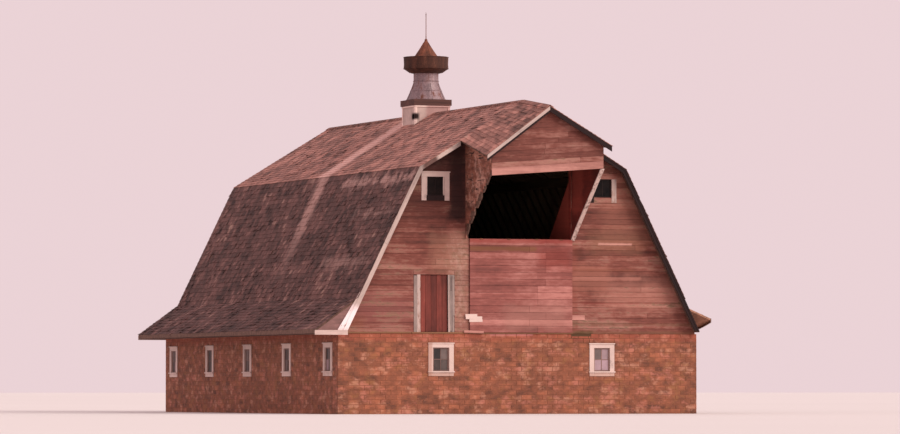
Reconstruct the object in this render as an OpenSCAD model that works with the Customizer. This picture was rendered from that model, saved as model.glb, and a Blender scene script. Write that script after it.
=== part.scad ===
// Old gambrel-roofed barn: a clay-tile ground storey, a boarded hay loft under a two-slope roof
// with kicked-out eaves, a sagging hay hood over the loft opening, the hay door let down under
// it, and a sheet-metal ventilator on the ridge.
// X runs across the front, the front looks towards -Y, and Z is up. The origin is on the ground
// under the middle of everything, from the tip of the hood to the rear rake boards.

/* [Footprint] */
// Width across the front, outside the masonry
barn_w = 11000; // [10000:100:12500]
// Length of the barn, outside the masonry
barn_l = 16200; // [12000:100:22000]
// Height of the masonry ground storey
base_h = 2300; // [2200:10:2600]
// Thickness of the clay-tile walls
tile_t = 200; // [150:10:300]
// Thickness of the ground floor slab
floor_t = 100; // [60:10:180]
// Thickness of the framed and boarded gable walls
gable_t = 120; // [80:10:180]

/* [Roof] */
// Distance from the middle to the break between the two slopes
break_x = 3160; // [2800:10:3500]
// Height of the break between the two slopes above the masonry
break_rise = 4730; // [4500:10:5000]
// Height of the main ridge above the break
ridge_rise = 1910; // [1670:10:2270]
// Thickness of the sheathing and shingles
roof_t = 60; // [40:5:100]
// How far the roof runs past each gable wall
rake_over = 300; // [150:10:450]
// Depth of a rafter
rafter_d = 150; // [100:10:200]
// Thickness of a rafter
rafter_w = 50; // [40:5:80]
// Largest spacing between rafters
rafter_step = 610; // [400:10:1200]
// Width of a purlin under the break
purlin_w = 100; // [60:10:160]
// Depth of a purlin, and of the ridge board
purlin_d = 200; // [120:10:260]

/* [Eaves] */
// Height above the masonry where the kicked-out eave leaves the lower slope
flare_rise = 1000; // [700:10:1300]
// Distance from the middle to the eave's edge
eave_x = 6300; // [6000:10:6800]
// Height of the eave's upper edge above the masonry
eave_rise = 100; // [50:5:200]
// Thickness of the eave's boards and shingles
flare_t = 50; // [30:5:80]
// Length broken off the front of the right eave
eave_lost = 750; // [200:10:1500]
// How far the broken end of the right eave stands up
eave_lift = 370; // [0:10:450]
// Length over which the right eave is bent up
lift_l = 3000; // [1000:100:5000]
// Length of soffit gone from the front of the right eave
soffit_lost = 2100; // [800:50:4000]
// Height of the board along the eave's edge
fascia_h = 120; // [80:5:160]

/* [Trim] */
// Thickness of the trim boards
trim_t = 30; // [20:1:40]
// Width of the rake boards
rake_w = 130; // [100:10:240]
// Height of the eave return boards
return_h = 130; // [80:5:180]

/* [Loft] */
// Depth of a loft joist
joist_d = 200; // [150:10:250]
// Thickness of a loft joist
joist_w = 50; // [40:5:80]
// Largest spacing between joists
joist_step = 610; // [400:10:1200]
// Thickness of the loft floor boards
loft_floor_t = 40; // [25:5:60]
// Width and depth of a girder
girder = 200; // [150:10:250]
// Side of a loft post
post = 150; // [120:10:200]
// Distance from the middle to a row of posts
post_x = 1750; // [1400:10:2400]
// Posts in a row
posts = 4; // [2:1:6]
// Width of a wall plate
plate_w = 260; // [200:10:320]
// Thickness of a wall plate
plate_t = 50; // [40:5:80]
// Width of a ledger on the side walls
ledger_w = 50; // [40:5:80]
// Depth of a ledger on the side walls
ledger_d = 100; // [80:10:150]

/* [Hay door] */
// Width of the hay opening
hay_w = 3150; // [2600:10:3200]
// Height of the hay opening
hay_h = 2680; // [2300:10:2700]
// Height of the hay opening's sill above the masonry
hay_rise = 2700; // [2690:5:2800]
// Thickness of the hay door
hay_door_t = 60; // [40:5:90]
// How far the lowered hay door sits to the right of the opening
hay_shift = 35; // [0:5:60]

/* [Hay hood] */
// How far the hood's front panel stands out from the wall
hood_reach = 2000; // [1500:10:2500]
// How far the hood's roof runs past its front panel
hood_over = 150; // [80:5:250]
// Half of the width of the hood's roof
hood_half = 1890; // [1850:10:2050]
// Half of the width between the cheeks' outer faces at the wall
hood_root = 1640; // [1635:5:1680]
// Half of the width of the hood's front panel
hood_tip = 1695; // [1690:5:1760]
// Height of the hood's front panel at its middle
hood_h = 1865; // [1600:5:2000]
// Slope of the hood's roof at its tip
hood_slope = 33.5; // [31:0.5:36]
// How far the hood's tip has dropped
hood_drop = 240; // [0:10:350]
// How far the hood's tip leans to the right
hood_lean = 80; // [0:10:120]
// Slope of the hood's level lines at its tip, lower on the left
hood_roll = 4.5; // [0:0.5:6]
// Thickness of the hood's front panel
panel_t = 60; // [40:5:90]
// Thickness of a cheek
cheek_t = 40; // [25:5:50]
// Width of the hood's ridge beam
beam_w = 100; // [60:10:140]
// Depth of the hood's ridge beam
beam_d = 180; // [120:10:240]
// Width of the hood's rake boards
hood_rake_w = 150; // [100:10:200]
// Height of one row of the left cheek's broken boards
cheek_row = 210; // [150:10:260]
// How far the right cheek's boards run on inside the gable wall, at the sill
cheek_inside = 1650; // [800:50:2000]

/* [Loft door] */
// Distance from the middle to the loft door, on the left
door_x = 2610; // [2560:10:2700]
// Width of the loft door
door_w = 840; // [700:10:860]
// Height of the loft door
door_h = 1630; // [1400:10:1700]
// Height of the loft door's threshold above the masonry
door_sill = 30; // [20:5:60]
// Thickness of the loft door
door_t = 40; // [30:5:60]
// How far the loft door is set back
door_back = 20; // [10:5:40]
// Width of the loft door's jamb boards
jamb_w = 200; // [120:10:210]

/* [Windows] */
// Width of a ground storey window, over its frame
win_w = 770; // [700:10:900]
// Height of a ground storey window, over its frame
win_h = 950; // [850:10:1000]
// Height of a ground storey window's bottom edge
win_z = 1080; // [900:10:1200]
// Distance from the middle to the left front window
win_left = 2400; // [2000:5:2800]
// Distance from the middle to the right front window
win_right = 2540; // [2000:5:2800]
// Width of a ground window frame's face
win_face = 140; // [80:5:160]
// Windows in each side wall
side_windows = 5; // [2:1:6]
// Distance from a corner to the middle of the nearest side window
side_first = 850; // [700:10:1200]
// Width of a loft window, over its frame
loft_win_w = 850; // [700:10:900]
// Height of a loft window, over its frame
loft_win_h = 830; // [700:10:850]
// Height of a loft window's bottom edge above the masonry
loft_win_rise = 3770; // [3600:10:3780]
// Distance from the middle to a loft window
loft_win_x = 2570; // [2500:10:2620]
// Width of a loft window frame's face
loft_face = 150; // [80:5:170]
// Depth of a window frame in the wall
frame_d = 110; // [80:5:140]
// How far a window frame stands out from the wall
frame_out = 25; // [15:1:35]
// Thickness of the glass
glass_t = 6; // [5:1:10]

/* [Rear doorway] */
// Width of the rear doorway, over its frame
way_w = 2400; // [2000:50:2800]
// Height of the rear doorway, over its frame
way_h = 2050; // [1900:10:2150]
// Thickness of the doorway's frame
way_frame = 60; // [40:5:80]
// How far the lintel runs into the masonry at each side
lintel_bearing = 200; // [100:10:300]

/* [Ventilator] */
// Distance from the front wall to the ventilator's axis
vent_back = 7700; // [6000:100:9000]
// Width of the square curb on the ridge
curb_w = 1100; // [1000:10:1190]
// Thickness of the curb's boards
curb_t = 40; // [25:5:60]
// Height of the curb's top above the ridge
curb_rise = 260; // [200:10:400]
// Radius of the hole in the curb's left side
curb_hole_r = 85; // [60:5:90]
// Distance from the curb's front to the middle of that hole
curb_hole_in = 140; // [135:5:400]
// Distance from the curb's top down to the middle of that hole
curb_hole_drop = 340; // [250:5:400]
// Width of the ventilator's square base
base_w = 1200; // [1190:10:1400]
// Height of the ventilator's square base
vent_base_h = 180; // [100:10:250]
// Radius of the foot of the skirt
skirt_r = 600; // [500:10:650]
// Height of the flared skirt
skirt_h = 560; // [400:10:700]
// Radius of the neck
neck_r = 375; // [300:5:400]
// Height of the neck between the skirt and the wind band
neck_h = 240; // [150:10:400]
// Radius of the wind band
band_r = 685; // [600:5:800]
// Height of the tapered bottom of the wind band
band_cone_h = 150; // [100:10:250]
// Height of the straight wall of the wind band
band_h = 350; // [250:10:450]
// Thickness of the ventilator's sheet metal
metal_t = 12; // [8:1:20]
// How far the foot of the cap sits below the rim of the wind band
cap_sunk = 100; // [20:10:200]
// Radius of the pointed cap
cap_r = 420; // [405:5:480]
// Height of the pointed cap
cap_h = 640; // [500:10:800]
// Radius of the lightning rod
rod_r = 14; // [10:1:25]
// Length of the lightning rod
rod_l = 830; // [400:10:1200]

/* [Hidden] */
$fn = 64;

left = -1;
right = 1;

// Rings along the bent part of the right eave, the hood's roof and its cheeks, and up the
// ventilator's skirt and cap, with the powers that those two curves follow.
eave_rings = 10;
hood_rings = 6;
cheek_rings = 4;
skirt_rings = 8;
cap_rings = 10;
skirt_curve = 1.2;
cap_curve = 1.6;

half_w = barn_w / 2;
inner_x = half_w - tile_t;
break_z = base_h + break_rise;
ridge_z = break_z + ridge_rise;
flare_z = base_h + flare_rise;
eave_z = base_h + eave_rise;
hay_sill = base_h + hay_rise;
loft_win_z = base_h + loft_win_rise;
upper_slope = atan2(ridge_z - break_z, break_x);
lower_slope = atan2(break_z - base_h, half_w - break_x);
upper_out = [sin(upper_slope), cos(upper_slope)];
lower_out = [sin(lower_slope), cos(lower_slope)];
break_p = [break_x, break_z];

front_reach = hood_reach + hood_over + trim_t;
rear_reach = rake_over + trim_t;
front_y = (front_reach - rear_reach - barn_l) / 2;
rear_y = front_y + barn_l;
vent_y = front_y + vent_back;
loft_front_y = front_y + gable_t;
loft_rear_y = rear_y - gable_t;
rake_front_y = front_y - rake_over;
rake_rear_y = rear_y + rake_over;

plate_top = base_h + plate_t;
joist_z = base_h - joist_d;
girder_z = joist_z - girder;

// Points of the roof's right half in the XZ plane, depth measured square to the outer surface.
function ridge_at(depth) = [0, ridge_z - depth / cos(upper_slope)];
function knee_at(depth) = break_p - depth * (upper_out + lower_out) / (1 + upper_out * lower_out);
function upper_at(x, depth) = ridge_at(depth) + [x, -x * tan(upper_slope)];
function lower_at(z, depth) =
    [(break_p * lower_out - depth - z * lower_out[1]) / lower_out[0], z];

// Even places between two ends, no further apart than step, with a place at each end.
function even_places(first, last, step) =
    let (bays = ceil((last - first) / step))
    [for (i = [0 : bays]) first + (last - first) * i / bays];

// An XZ outline run along Y.
module along_y(y0, y1) {
    translate([0, y1, 0]) rotate([90, 0, 0]) linear_extrude(y1 - y0) children();
}

module on_side(side) {
    if (side == left) mirror([1, 0, 0]) children();
    else children();
}

module both_sides() {
    for (side = [left, right]) on_side(side) children();
}

// A box between two corners.
module box(low, high) {
    translate(low) cube(high - low);
}

// A closed solid through rings of points. Each ring turns anticlockwise seen from the front,
// and the rings follow each other towards the front.
module loft(rings) {
    count = len(rings[0]);
    last = len(rings) - 1;
    back_cap = [for (j = [0 : count - 1]) j];
    front_cap = [for (j = [count - 1 : -1 : 0]) last * count + j];
    sides = [
        for (i = [0 : last - 1], j = [0 : count - 1])
            let (a = i * count + j, b = i * count + (j + 1) % count)
            each [[a, a + count, b + count], [a, b + count, b]]
    ];
    polyhedron([for (ring = rings) each ring], concat([back_cap, front_cap], sides), convexity = 4);
}

// Ground storey.
module ground_floor() {
    color("darkgray")
        box([-inner_x, front_y + tile_t, 0], [inner_x, rear_y - tile_t, floor_t]);
}

// A window's cut, clear of both faces of its wall.
module window_cut(w, h, wall_t) {
    translate([-w / 2, -wall_t, 0]) cube([w, 3 * wall_t, h]);
}

module at_front_windows() {
    for (x = [-win_left, win_right]) translate([x, front_y, win_z]) children();
}

module at_rear_windows() {
    for (x = [-win_left, win_right]) translate([-x, rear_y, win_z]) rotate([0, 0, 180]) children();
}

module at_side_windows(side) {
    first = front_y + side_first;
    last = rear_y - side_first;
    for (i = [0 : side_windows - 1])
        translate([side * half_w, first + (last - first) * i / (side_windows - 1), win_z])
            rotate([0, 0, side * 90]) children();
}

module front_tile_wall() {
    color("indianred") difference() {
        box([-half_w, front_y, 0], [half_w, front_y + tile_t, base_h]);
        at_front_windows() window_cut(win_w, win_h, tile_t);
    }
}

module lintel_place() {
    reach = way_w / 2 + lintel_bearing;
    box([-reach, rear_y - tile_t, way_h], [reach, rear_y, base_h]);
}

module rear_tile_wall() {
    color("indianred") difference() {
        both_sides() box([way_w / 2, rear_y - tile_t, 0], [half_w, rear_y, base_h]);
        at_rear_windows() window_cut(win_w, win_h, tile_t);
        lintel_place();
    }
}

module rear_door_lintel() {
    color("dimgray") lintel_place();
}

module rear_door_frame() {
    color("antiquewhite") along_y(rear_y - tile_t, rear_y) difference() {
        translate([-way_w / 2, 0]) square([way_w, way_h]);
        translate([way_frame - way_w / 2, -way_frame]) square([way_w - 2 * way_frame, way_h]);
    }
}

module side_tile_wall(side) {
    color("indianred") difference() {
        on_side(side) box([inner_x, front_y + tile_t, 0], [half_w, rear_y - tile_t, base_h]);
        at_side_windows(side) window_cut(win_w, win_h, tile_t);
    }
}

// A window frame with its outer face frame_out in front of the wall, and the opening in it.
module window_frame(w, h, face) {
    color("antiquewhite") translate([0, frame_d - frame_out, 0]) rotate([90, 0, 0])
        linear_extrude(frame_d) difference() {
            translate([-w / 2, 0]) square([w, h]);
            translate([face - w / 2, face]) square([w - 2 * face, h - 2 * face]);
        }
}

module window_glass(w, h, face) {
    color("slategray") translate([face - w / 2, frame_out, face])
        cube([w - 2 * face, glass_t, h - 2 * face]);
}

module ground_window_frames() {
    at_front_windows() window_frame(win_w, win_h, win_face);
    at_rear_windows() window_frame(win_w, win_h, win_face);
    for (side = [left, right]) at_side_windows(side) window_frame(win_w, win_h, win_face);
}

module ground_window_glass() {
    at_front_windows() window_glass(win_w, win_h, win_face);
    at_rear_windows() window_glass(win_w, win_h, win_face);
    for (side = [left, right]) at_side_windows(side) window_glass(win_w, win_h, win_face);
}

// Loft floor and what carries it.
module loft_posts() {
    run = rear_y - front_y;
    color("peru") for (i = [1 : posts], side = [left, right])
        translate([side * post_x, front_y + run * i / (posts + 1), (floor_t + girder_z) / 2])
            cube([post, post, girder_z - floor_t], center = true);
}

module loft_girders() {
    color("peru") both_sides() {
        box([post_x - girder / 2, front_y + tile_t, girder_z],
            [post_x + girder / 2, rear_y - tile_t, joist_z]);
        box([inner_x - ledger_w, front_y + tile_t, joist_z - ledger_d],
            [inner_x, rear_y - tile_t, joist_z]);
    }
}

module loft_joists() {
    first = front_y + tile_t + joist_w / 2;
    color("burlywood") for (y = even_places(first, rear_y - tile_t - joist_w / 2, joist_step))
        box([-inner_x, y - joist_w / 2, joist_z], [inner_x, y + joist_w / 2, base_h]);
}

module loft_floor() {
    x = half_w - plate_w;
    color("tan") box([-x, loft_front_y, base_h], [x, loft_rear_y, base_h + loft_floor_t]);
}

module wall_plates() {
    color("peru") both_sides()
        box([half_w - plate_w, loft_front_y, base_h], [half_w, loft_rear_y, plate_top]);
}

// Gable walls, doors and loft windows.
module gable_outline() {
    foot = lower_at(base_h, roof_t);
    knee = knee_at(roof_t);
    polygon([foot, knee, ridge_at(roof_t), [-knee[0], knee[1]], [-foot[0], foot[1]]]);
}

module at_loft_windows(front) {
    for (x = [-loft_win_x, loft_win_x])
        translate([x, front ? front_y : rear_y, loft_win_z])
            rotate([0, 0, front ? 0 : 180]) children();
}

module front_gable_wall() {
    color("rosybrown") difference() {
        along_y(front_y, loft_front_y) difference() {
            gable_outline();
            translate([-hay_w / 2, hay_sill]) square([hay_w, hay_h]);
            translate([-door_x - door_w / 2, base_h + door_sill]) square([door_w, door_h]);
        }
        at_loft_windows(true) window_cut(loft_win_w, loft_win_h, gable_t);
    }
}

module rear_gable_wall() {
    color("rosybrown") difference() {
        along_y(loft_rear_y, rear_y) gable_outline();
        at_loft_windows(false) window_cut(loft_win_w, loft_win_h, gable_t);
    }
}

module loft_window_frames() {
    for (front = [true, false]) at_loft_windows(front)
        window_frame(loft_win_w, loft_win_h, loft_face);
}

module loft_window_glass() {
    for (front = [true, false]) at_loft_windows(front)
        window_glass(loft_win_w, loft_win_h, loft_face);
}

module loft_door() {
    z = base_h + door_sill;
    color("brown") box([-door_x - door_w / 2, front_y + door_back, z],
        [-door_x + door_w / 2, front_y + door_back + door_t, z + door_h]);
}

module loft_door_jambs() {
    color("antiquewhite") for (side = [left, right])
        translate([-door_x + side * (door_w + jamb_w) / 2, front_y - trim_t / 2,
                base_h + (door_sill + door_h) / 2])
            cube([jamb_w, trim_t, door_sill + door_h], center = true);
}

module hay_door() {
    color("indianred") box([hay_shift - hay_w / 2, front_y - hay_door_t, hay_sill - hay_h],
        [hay_shift + hay_w / 2, front_y, hay_sill]);
}

// Roof frame.
module rafter_row() {
    first = loft_front_y + rafter_w / 2;
    for (y = even_places(first, loft_rear_y - rafter_w / 2, rafter_step))
        along_y(y - rafter_w / 2, y + rafter_w / 2) children();
}

module lower_rafters() {
    depth = roof_t + rafter_d;
    color("burlywood") both_sides() rafter_row()
        polygon([knee_at(roof_t), lower_at(plate_top, roof_t),
            lower_at(plate_top, depth), knee_at(depth)]);
}

module upper_rafters() {
    depth = roof_t + rafter_d;
    x = rafter_w / 2;
    color("burlywood") both_sides() rafter_row()
        polygon([upper_at(x, roof_t), knee_at(roof_t), knee_at(depth), upper_at(x, depth)]);
}

module ridge_and_purlins() {
    x = rafter_w / 2;
    top = upper_at(x, roof_t);
    knee = knee_at(roof_t + rafter_d);
    color("peru") along_y(loft_front_y, loft_rear_y) {
        polygon([ridge_at(roof_t), top, top - [0, purlin_d], [-x, top[1] - purlin_d], [-x, top[1]]]);
        for (side = [left, right]) polygon([
            for (p = [knee, knee + purlin_w * [-1, tan(upper_slope)],
                knee - [purlin_w, purlin_d], knee - [0, purlin_d]]) [side * p[0], p[1]]
        ]);
    }
}

// Roof covering.
module roof_upper(side) {
    color("rosybrown") on_side(side) along_y(rake_front_y, rake_rear_y)
        polygon([ridge_at(0), knee_at(0), knee_at(roof_t), ridge_at(roof_t)]);
}

module roof_lower(side) {
    color("dimgray") on_side(side) along_y(rake_front_y, rake_rear_y)
        polygon([knee_at(0), lower_at(plate_top, 0), lower_at(plate_top, roof_t), knee_at(roof_t)]);
}

// The kicked-out eave on the right, in the XZ plane, with its edge stood up by lift. It lies on
// the lower slope from flare_z down, and its edge is cut upright for the fascia.
flare_root = lower_at(flare_z, 0);
function flare_edge(lift) = [eave_x - trim_t, eave_z + lift];
function flare_way(lift) =
    (flare_edge(lift) - flare_root) / norm(flare_edge(lift) - flare_root);
function flare_under(lift) = flare_edge(lift) - [0, flare_t / flare_way(lift)[0]];
function flare_heel(lift) =
    let (under = flare_under(lift), way = flare_way(lift))
    under - way * ((under - break_p) * lower_out) / (way * lower_out);
function flare_outline(lift) =
    [flare_root, flare_heel(lift), flare_under(lift), flare_edge(lift)];
function fascia_outline(lift) =
    let (top = eave_z + lift)
    [[eave_x - trim_t, top], [eave_x - trim_t, top - fascia_h], [eave_x, top - fascia_h],
        [eave_x, top]];

right_eave_y = front_y + eave_lost;

// What runs along the broken right eave, bent up more and more towards its front end.
eave_bend = [for (i = [0 : eave_rings])
    let (t = i / eave_rings) [right_eave_y + lift_l * (1 - t), eave_lift * t * t]];

module bent_eave(outline) {
    loft([for (place = concat([[rake_rear_y, 0]], eave_bend))
        [for (p = outline(place[1])) [p[0], place[0], p[1]]]]);
}

module left_eave_flare() {
    color("dimgray") on_side(left) along_y(rake_front_y, rake_rear_y) polygon(flare_outline(0));
}

module right_eave_flare() {
    color("dimgray") bent_eave(function (lift) flare_outline(lift));
}

module eave_fascias() {
    color("antiquewhite") {
        on_side(left) along_y(rake_front_y, rake_rear_y) polygon(fascia_outline(0));
        bent_eave(function (lift) fascia_outline(lift));
    }
}

module eave_soffits() {
    low = base_h - trim_t;
    color("tan") {
        box([-eave_x + trim_t, rake_front_y, low], [-half_w, rake_rear_y, base_h]);
        box([half_w, front_y + soffit_lost, low], [eave_x - trim_t, rake_rear_y, base_h]);
    }
}

// The boards that close the ends of the boxed eaves. The front right one is gone.
module at_eave_ends() {
    on_side(left) along_y(rake_front_y, rake_front_y + trim_t) children();
    both_sides() along_y(rake_rear_y - trim_t, rake_rear_y) children();
}

module eave_end_panels() {
    edge = flare_under(0);
    color("rosybrown") at_eave_ends()
        polygon([flare_heel(0), lower_at(plate_top, 0), [half_w, plate_top], [half_w, base_h],
            [edge[0], base_h], edge]);
}

return_top = eave_z - trim_t;

module eave_returns() {
    start = lower_at(return_top, rake_w)[0];
    color("antiquewhite") {
        on_side(left) box([start, rake_front_y - trim_t, return_top - return_h],
            [eave_x, rake_front_y, return_top]);
        both_sides() box([start, rake_rear_y, return_top - return_h],
            [eave_x, rake_rear_y + trim_t, return_top]);
    }
}

module lower_rake_outline() {
    polygon([knee_at(0), lower_at(return_top, 0), lower_at(return_top, rake_w), knee_at(rake_w)]);
}

module rake_boards() {
    hood_side = hood_half + trim_t;
    color("antiquewhite") {
        both_sides() along_y(rake_front_y - trim_t, rake_front_y) {
            lower_rake_outline();
            polygon([knee_at(0), upper_at(hood_side, 0), upper_at(hood_side, rake_w),
                knee_at(rake_w)]);
        }
        along_y(rake_rear_y, rake_rear_y + trim_t) for (side = [left, right])
            polygon([for (p = [ridge_at(0), knee_at(0), lower_at(return_top, 0),
                lower_at(return_top, rake_w), knee_at(rake_w), ridge_at(rake_w)])
                [side * p[0], p[1]]]);
    }
}

// Hay hood. Its pieces are drawn straight, y from the wall and z from the main ridge, and then
// let down, leant and rolled more and more towards the tip, as the real one has sagged.
hood_end = hood_reach + hood_over;
roof_v = roof_t / cos(upper_slope);
function hood_part(y) = max(0, (-y - rake_over) / (hood_end - rake_over));
function hood_fall(y) = tan(upper_slope) + (tan(hood_slope) - tan(upper_slope)) * hood_part(y);
function hood_point(x, y, z) =
    let (part = hood_part(y))
    [x + hood_lean * part, front_y + y, ridge_z + z + part * (x * tan(hood_roll) - hood_drop)];
function hood_under(x, y) = -abs(x) * hood_fall(y) - roof_v;

module hood_loft(places, outline) {
    loft([for (y = places) [for (p = outline(y)) hood_point(p[0], y, p[1])]]);
}

hood_places = [for (i = [0 : hood_rings])
    -rake_over - (hood_end - rake_over) * i / hood_rings];

module hood_roof_left() {
    color("rosybrown") hood_loft(hood_places, function (y) [
        [0, -roof_v], [0, 0], [-hood_half, -hood_half * hood_fall(y)],
        [-hood_half, hood_under(hood_half, y)]]);
}

module hood_roof_right() {
    color("rosybrown") hood_loft(hood_places, function (y) [
        [0, 0], [0, -roof_v], [hood_half, hood_under(hood_half, y)],
        [hood_half, -hood_half * hood_fall(y)]]);
}

module hood_front_panel() {
    color("indianred") hood_loft([panel_t - hood_reach, -hood_reach], function (y) [
        [-hood_tip, -hood_h], [hood_tip, -hood_h], [hood_tip, hood_under(hood_tip, y)],
        [0, -roof_v], [-hood_tip, hood_under(hood_tip, y)]]);
}

cheek_end = hood_reach - panel_t;
cheek_places = concat([0], [for (i = [0 : cheek_rings])
    -rake_over - (cheek_end - rake_over) * i / cheek_rings]);
function cheek_x(y) = hood_root - (hood_tip - hood_root) * y / cheek_end;
function cheek_foot(y) = hay_sill - ridge_z + (ridge_z - hay_sill - hood_h) * -y / cheek_end;

module cheek(side) {
    hood_loft(cheek_places, function (y)
        let (outer = cheek_x(y), inner = outer - cheek_t, foot = cheek_foot(y))
        side == right
            ? [[inner, foot], [outer, foot], [outer, hood_under(outer, y)],
                [inner, hood_under(inner, y)]]
            : [[-outer, foot], [-inner, foot], [-inner, hood_under(inner, y)],
                [-outer, hood_under(outer, y)]]);
}

// How far each row of the left cheek's boards has broken back from its sloping edge.
cheek_breaks = [60, 190, 110, 230, 80, 170, 120, 40];

module hood_left_cheek() {
    color("sienna") difference() {
        cheek(left);
        for (i = [0 : len(cheek_breaks) - 1]) {
            low = cheek_row * i;
            rise = hood_point(-hood_tip, -cheek_end, -hood_h)[2] - hay_sill;
            edge = -cheek_end * (low + cheek_row) / rise;
            translate([-hood_half, front_y + edge - cheek_end, hay_sill + low])
                cube([hood_half, cheek_end + cheek_breaks[i], cheek_row]);
        }
    }
}

// Behind the gable wall the right cheek's boards run on, to an edge as steep as its outer one.
module cheek_behind_wall() {
    rise = cheek_inside * (ridge_z - hay_sill - hood_h) / cheek_end;
    translate([hood_root, 0, 0]) rotate([90, 0, -90]) linear_extrude(cheek_t) polygon([
        [-loft_front_y, hay_sill], [-loft_front_y, hay_sill + rise],
        [-loft_front_y - cheek_inside, hay_sill]]);
}

module hood_right_cheek() {
    color("brown") {
        cheek(right);
        cheek_behind_wall();
    }
}

module hood_ridge_beam() {
    x = beam_w / 2;
    color("peru") hood_loft(cheek_places, function (y)
        [[-x, hood_under(x, y)], [-x, hood_under(x, y) - beam_d], [x, hood_under(x, y) - beam_d],
            [x, hood_under(x, y)], [0, -roof_v]]);
}

module hood_rake_boards() {
    drop = hood_rake_w / cos(hood_slope);
    color("antiquewhite") for (side = [left, right])
        hood_loft([-hood_end, -hood_end - trim_t], function (y)
            let (low = -hood_half * tan(hood_slope))
            side == right
                ? [[0, 0], [0, -drop], [hood_half, low - drop], [hood_half, low]]
                : [[0, -drop], [0, 0], [-hood_half, low], [-hood_half, low - drop]]);
}

// Ventilator on the ridge.
module at_ventilator(z) {
    translate([0, vent_y, z]) children();
}

curb_z = ridge_z + curb_rise;

module cupola_curb() {
    low = upper_at(curb_w / 2, 0)[1];
    h = curb_z - low;
    inside = curb_w - 2 * curb_t;
    color("antiquewhite") difference() {
        at_ventilator(low) translate([-curb_w / 2, -curb_w / 2, 0]) cube([curb_w, curb_w, h]);
        at_ventilator(low) translate([-inside / 2, -inside / 2, -curb_t])
            cube([inside, inside, h + 2 * curb_t]);
        along_y(vent_y - curb_w, vent_y + curb_w)
            polygon([ridge_at(0), upper_at(curb_w, 0), [curb_w, 0], [-curb_w, 0],
                [-curb_w, upper_at(curb_w, 0)[1]]]);
        at_ventilator(curb_z - curb_hole_drop) translate([0, curb_hole_in - curb_w / 2, 0])
            rotate([0, -90, 0]) cylinder(r = curb_hole_r, h = curb_w);
    }
}

skirt_z = curb_z + vent_base_h;
neck_z = skirt_z + skirt_h;
band_z = neck_z + neck_h;
cap_z = band_z + band_cone_h + band_h - cap_sunk;

module cupola_base() {
    color("rosybrown") at_ventilator(curb_z) difference() {
        translate([-base_w / 2, -base_w / 2, 0]) cube([base_w, base_w, vent_base_h]);
        translate([0, 0, -vent_base_h]) cylinder(r = neck_r, h = 3 * vent_base_h);
    }
}

// The skirt draws in to the neck, which runs on up through the wind band.
skirt_side = [for (i = [0 : skirt_rings])
    let (t = i / skirt_rings)
    [neck_r + (skirt_r - neck_r) * pow(1 - t, skirt_curve), skirt_z + skirt_h * t]];

module cupola_skirt() {
    top = [neck_r, cap_z];
    outer = concat(skirt_side, [top]);
    inner = [for (i = [len(outer) - 1 : -1 : 0]) outer[i] - [metal_t, 0]];
    color("lightsteelblue") at_ventilator(0) rotate_extrude() polygon(concat(outer, inner));
}

module cupola_wind_band() {
    rim = band_z + band_cone_h + band_h;
    color("saddlebrown") at_ventilator(0) rotate_extrude() polygon([
        [neck_r, band_z], [band_r, band_z + band_cone_h], [band_r, rim], [band_r - metal_t, rim],
        [band_r - metal_t, band_z + band_cone_h + metal_t], [neck_r, band_z + metal_t]]);
}

module cupola_cap() {
    side = [for (i = [0 : cap_rings])
        let (t = i / cap_rings)
        [rod_r + (cap_r - rod_r) * pow(1 - t, cap_curve), cap_z + cap_h * t]];
    color("peru") at_ventilator(0) rotate_extrude()
        polygon(concat([[0, cap_z]], side, [[0, cap_z + cap_h]]));
}

module lightning_rod() {
    color("dimgray") at_ventilator(cap_z + cap_h) cylinder(r = rod_r, h = rod_l);
}

ground_floor();
front_tile_wall();
rear_tile_wall();
side_tile_wall(left);  // left_tile_wall
side_tile_wall(right);  // right_tile_wall
rear_door_lintel();
rear_door_frame();
ground_window_frames();
ground_window_glass();
loft_posts();
loft_girders();
loft_joists();
loft_floor();
wall_plates();
front_gable_wall();
rear_gable_wall();
loft_window_frames();
loft_window_glass();
loft_door();
loft_door_jambs();
hay_door();
lower_rafters();
upper_rafters();
ridge_and_purlins();
roof_upper(left);  // roof_left_upper
roof_lower(left);  // roof_left_lower
roof_upper(right);  // roof_right_upper
roof_lower(right);  // roof_right_lower
left_eave_flare();
right_eave_flare();
eave_soffits();
eave_fascias();
eave_end_panels();
eave_returns();
rake_boards();
hood_roof_left();
hood_roof_right();
hood_front_panel();
hood_left_cheek();
hood_right_cheek();
hood_ridge_beam();
hood_rake_boards();
cupola_curb();
cupola_base();
cupola_skirt();
cupola_wind_band();
cupola_cap();
lightning_rod();
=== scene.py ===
"""Looks of an old hay barn: clay-tile ground storey, boarded loft, shingled roof, sagging hay
hood and a sheet-metal ventilator. It runs as a script round the packed model."""

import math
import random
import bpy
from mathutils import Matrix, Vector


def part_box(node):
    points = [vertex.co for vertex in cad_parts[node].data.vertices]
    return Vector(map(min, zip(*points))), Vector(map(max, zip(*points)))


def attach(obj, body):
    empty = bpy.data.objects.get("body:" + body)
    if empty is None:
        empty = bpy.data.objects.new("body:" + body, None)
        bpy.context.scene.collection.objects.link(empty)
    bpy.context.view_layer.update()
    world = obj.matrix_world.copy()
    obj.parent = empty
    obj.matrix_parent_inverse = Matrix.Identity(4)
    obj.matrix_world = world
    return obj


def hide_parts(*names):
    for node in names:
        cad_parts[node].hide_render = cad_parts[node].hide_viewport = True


bl_info = {
    "name": "Old Hay Barn",
    "version": (1, 0, 0),
    "blender": (4, 5, 0),
    "location": "3D View > Sidebar > Barn",
    "description": "Builds the surfaces, trim and fittings of an old gambrel-roofed hay barn",
    "category": "Object",
}

import bmesh
import bpy
import numpy as np
from mathutils import Matrix, Vector

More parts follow.
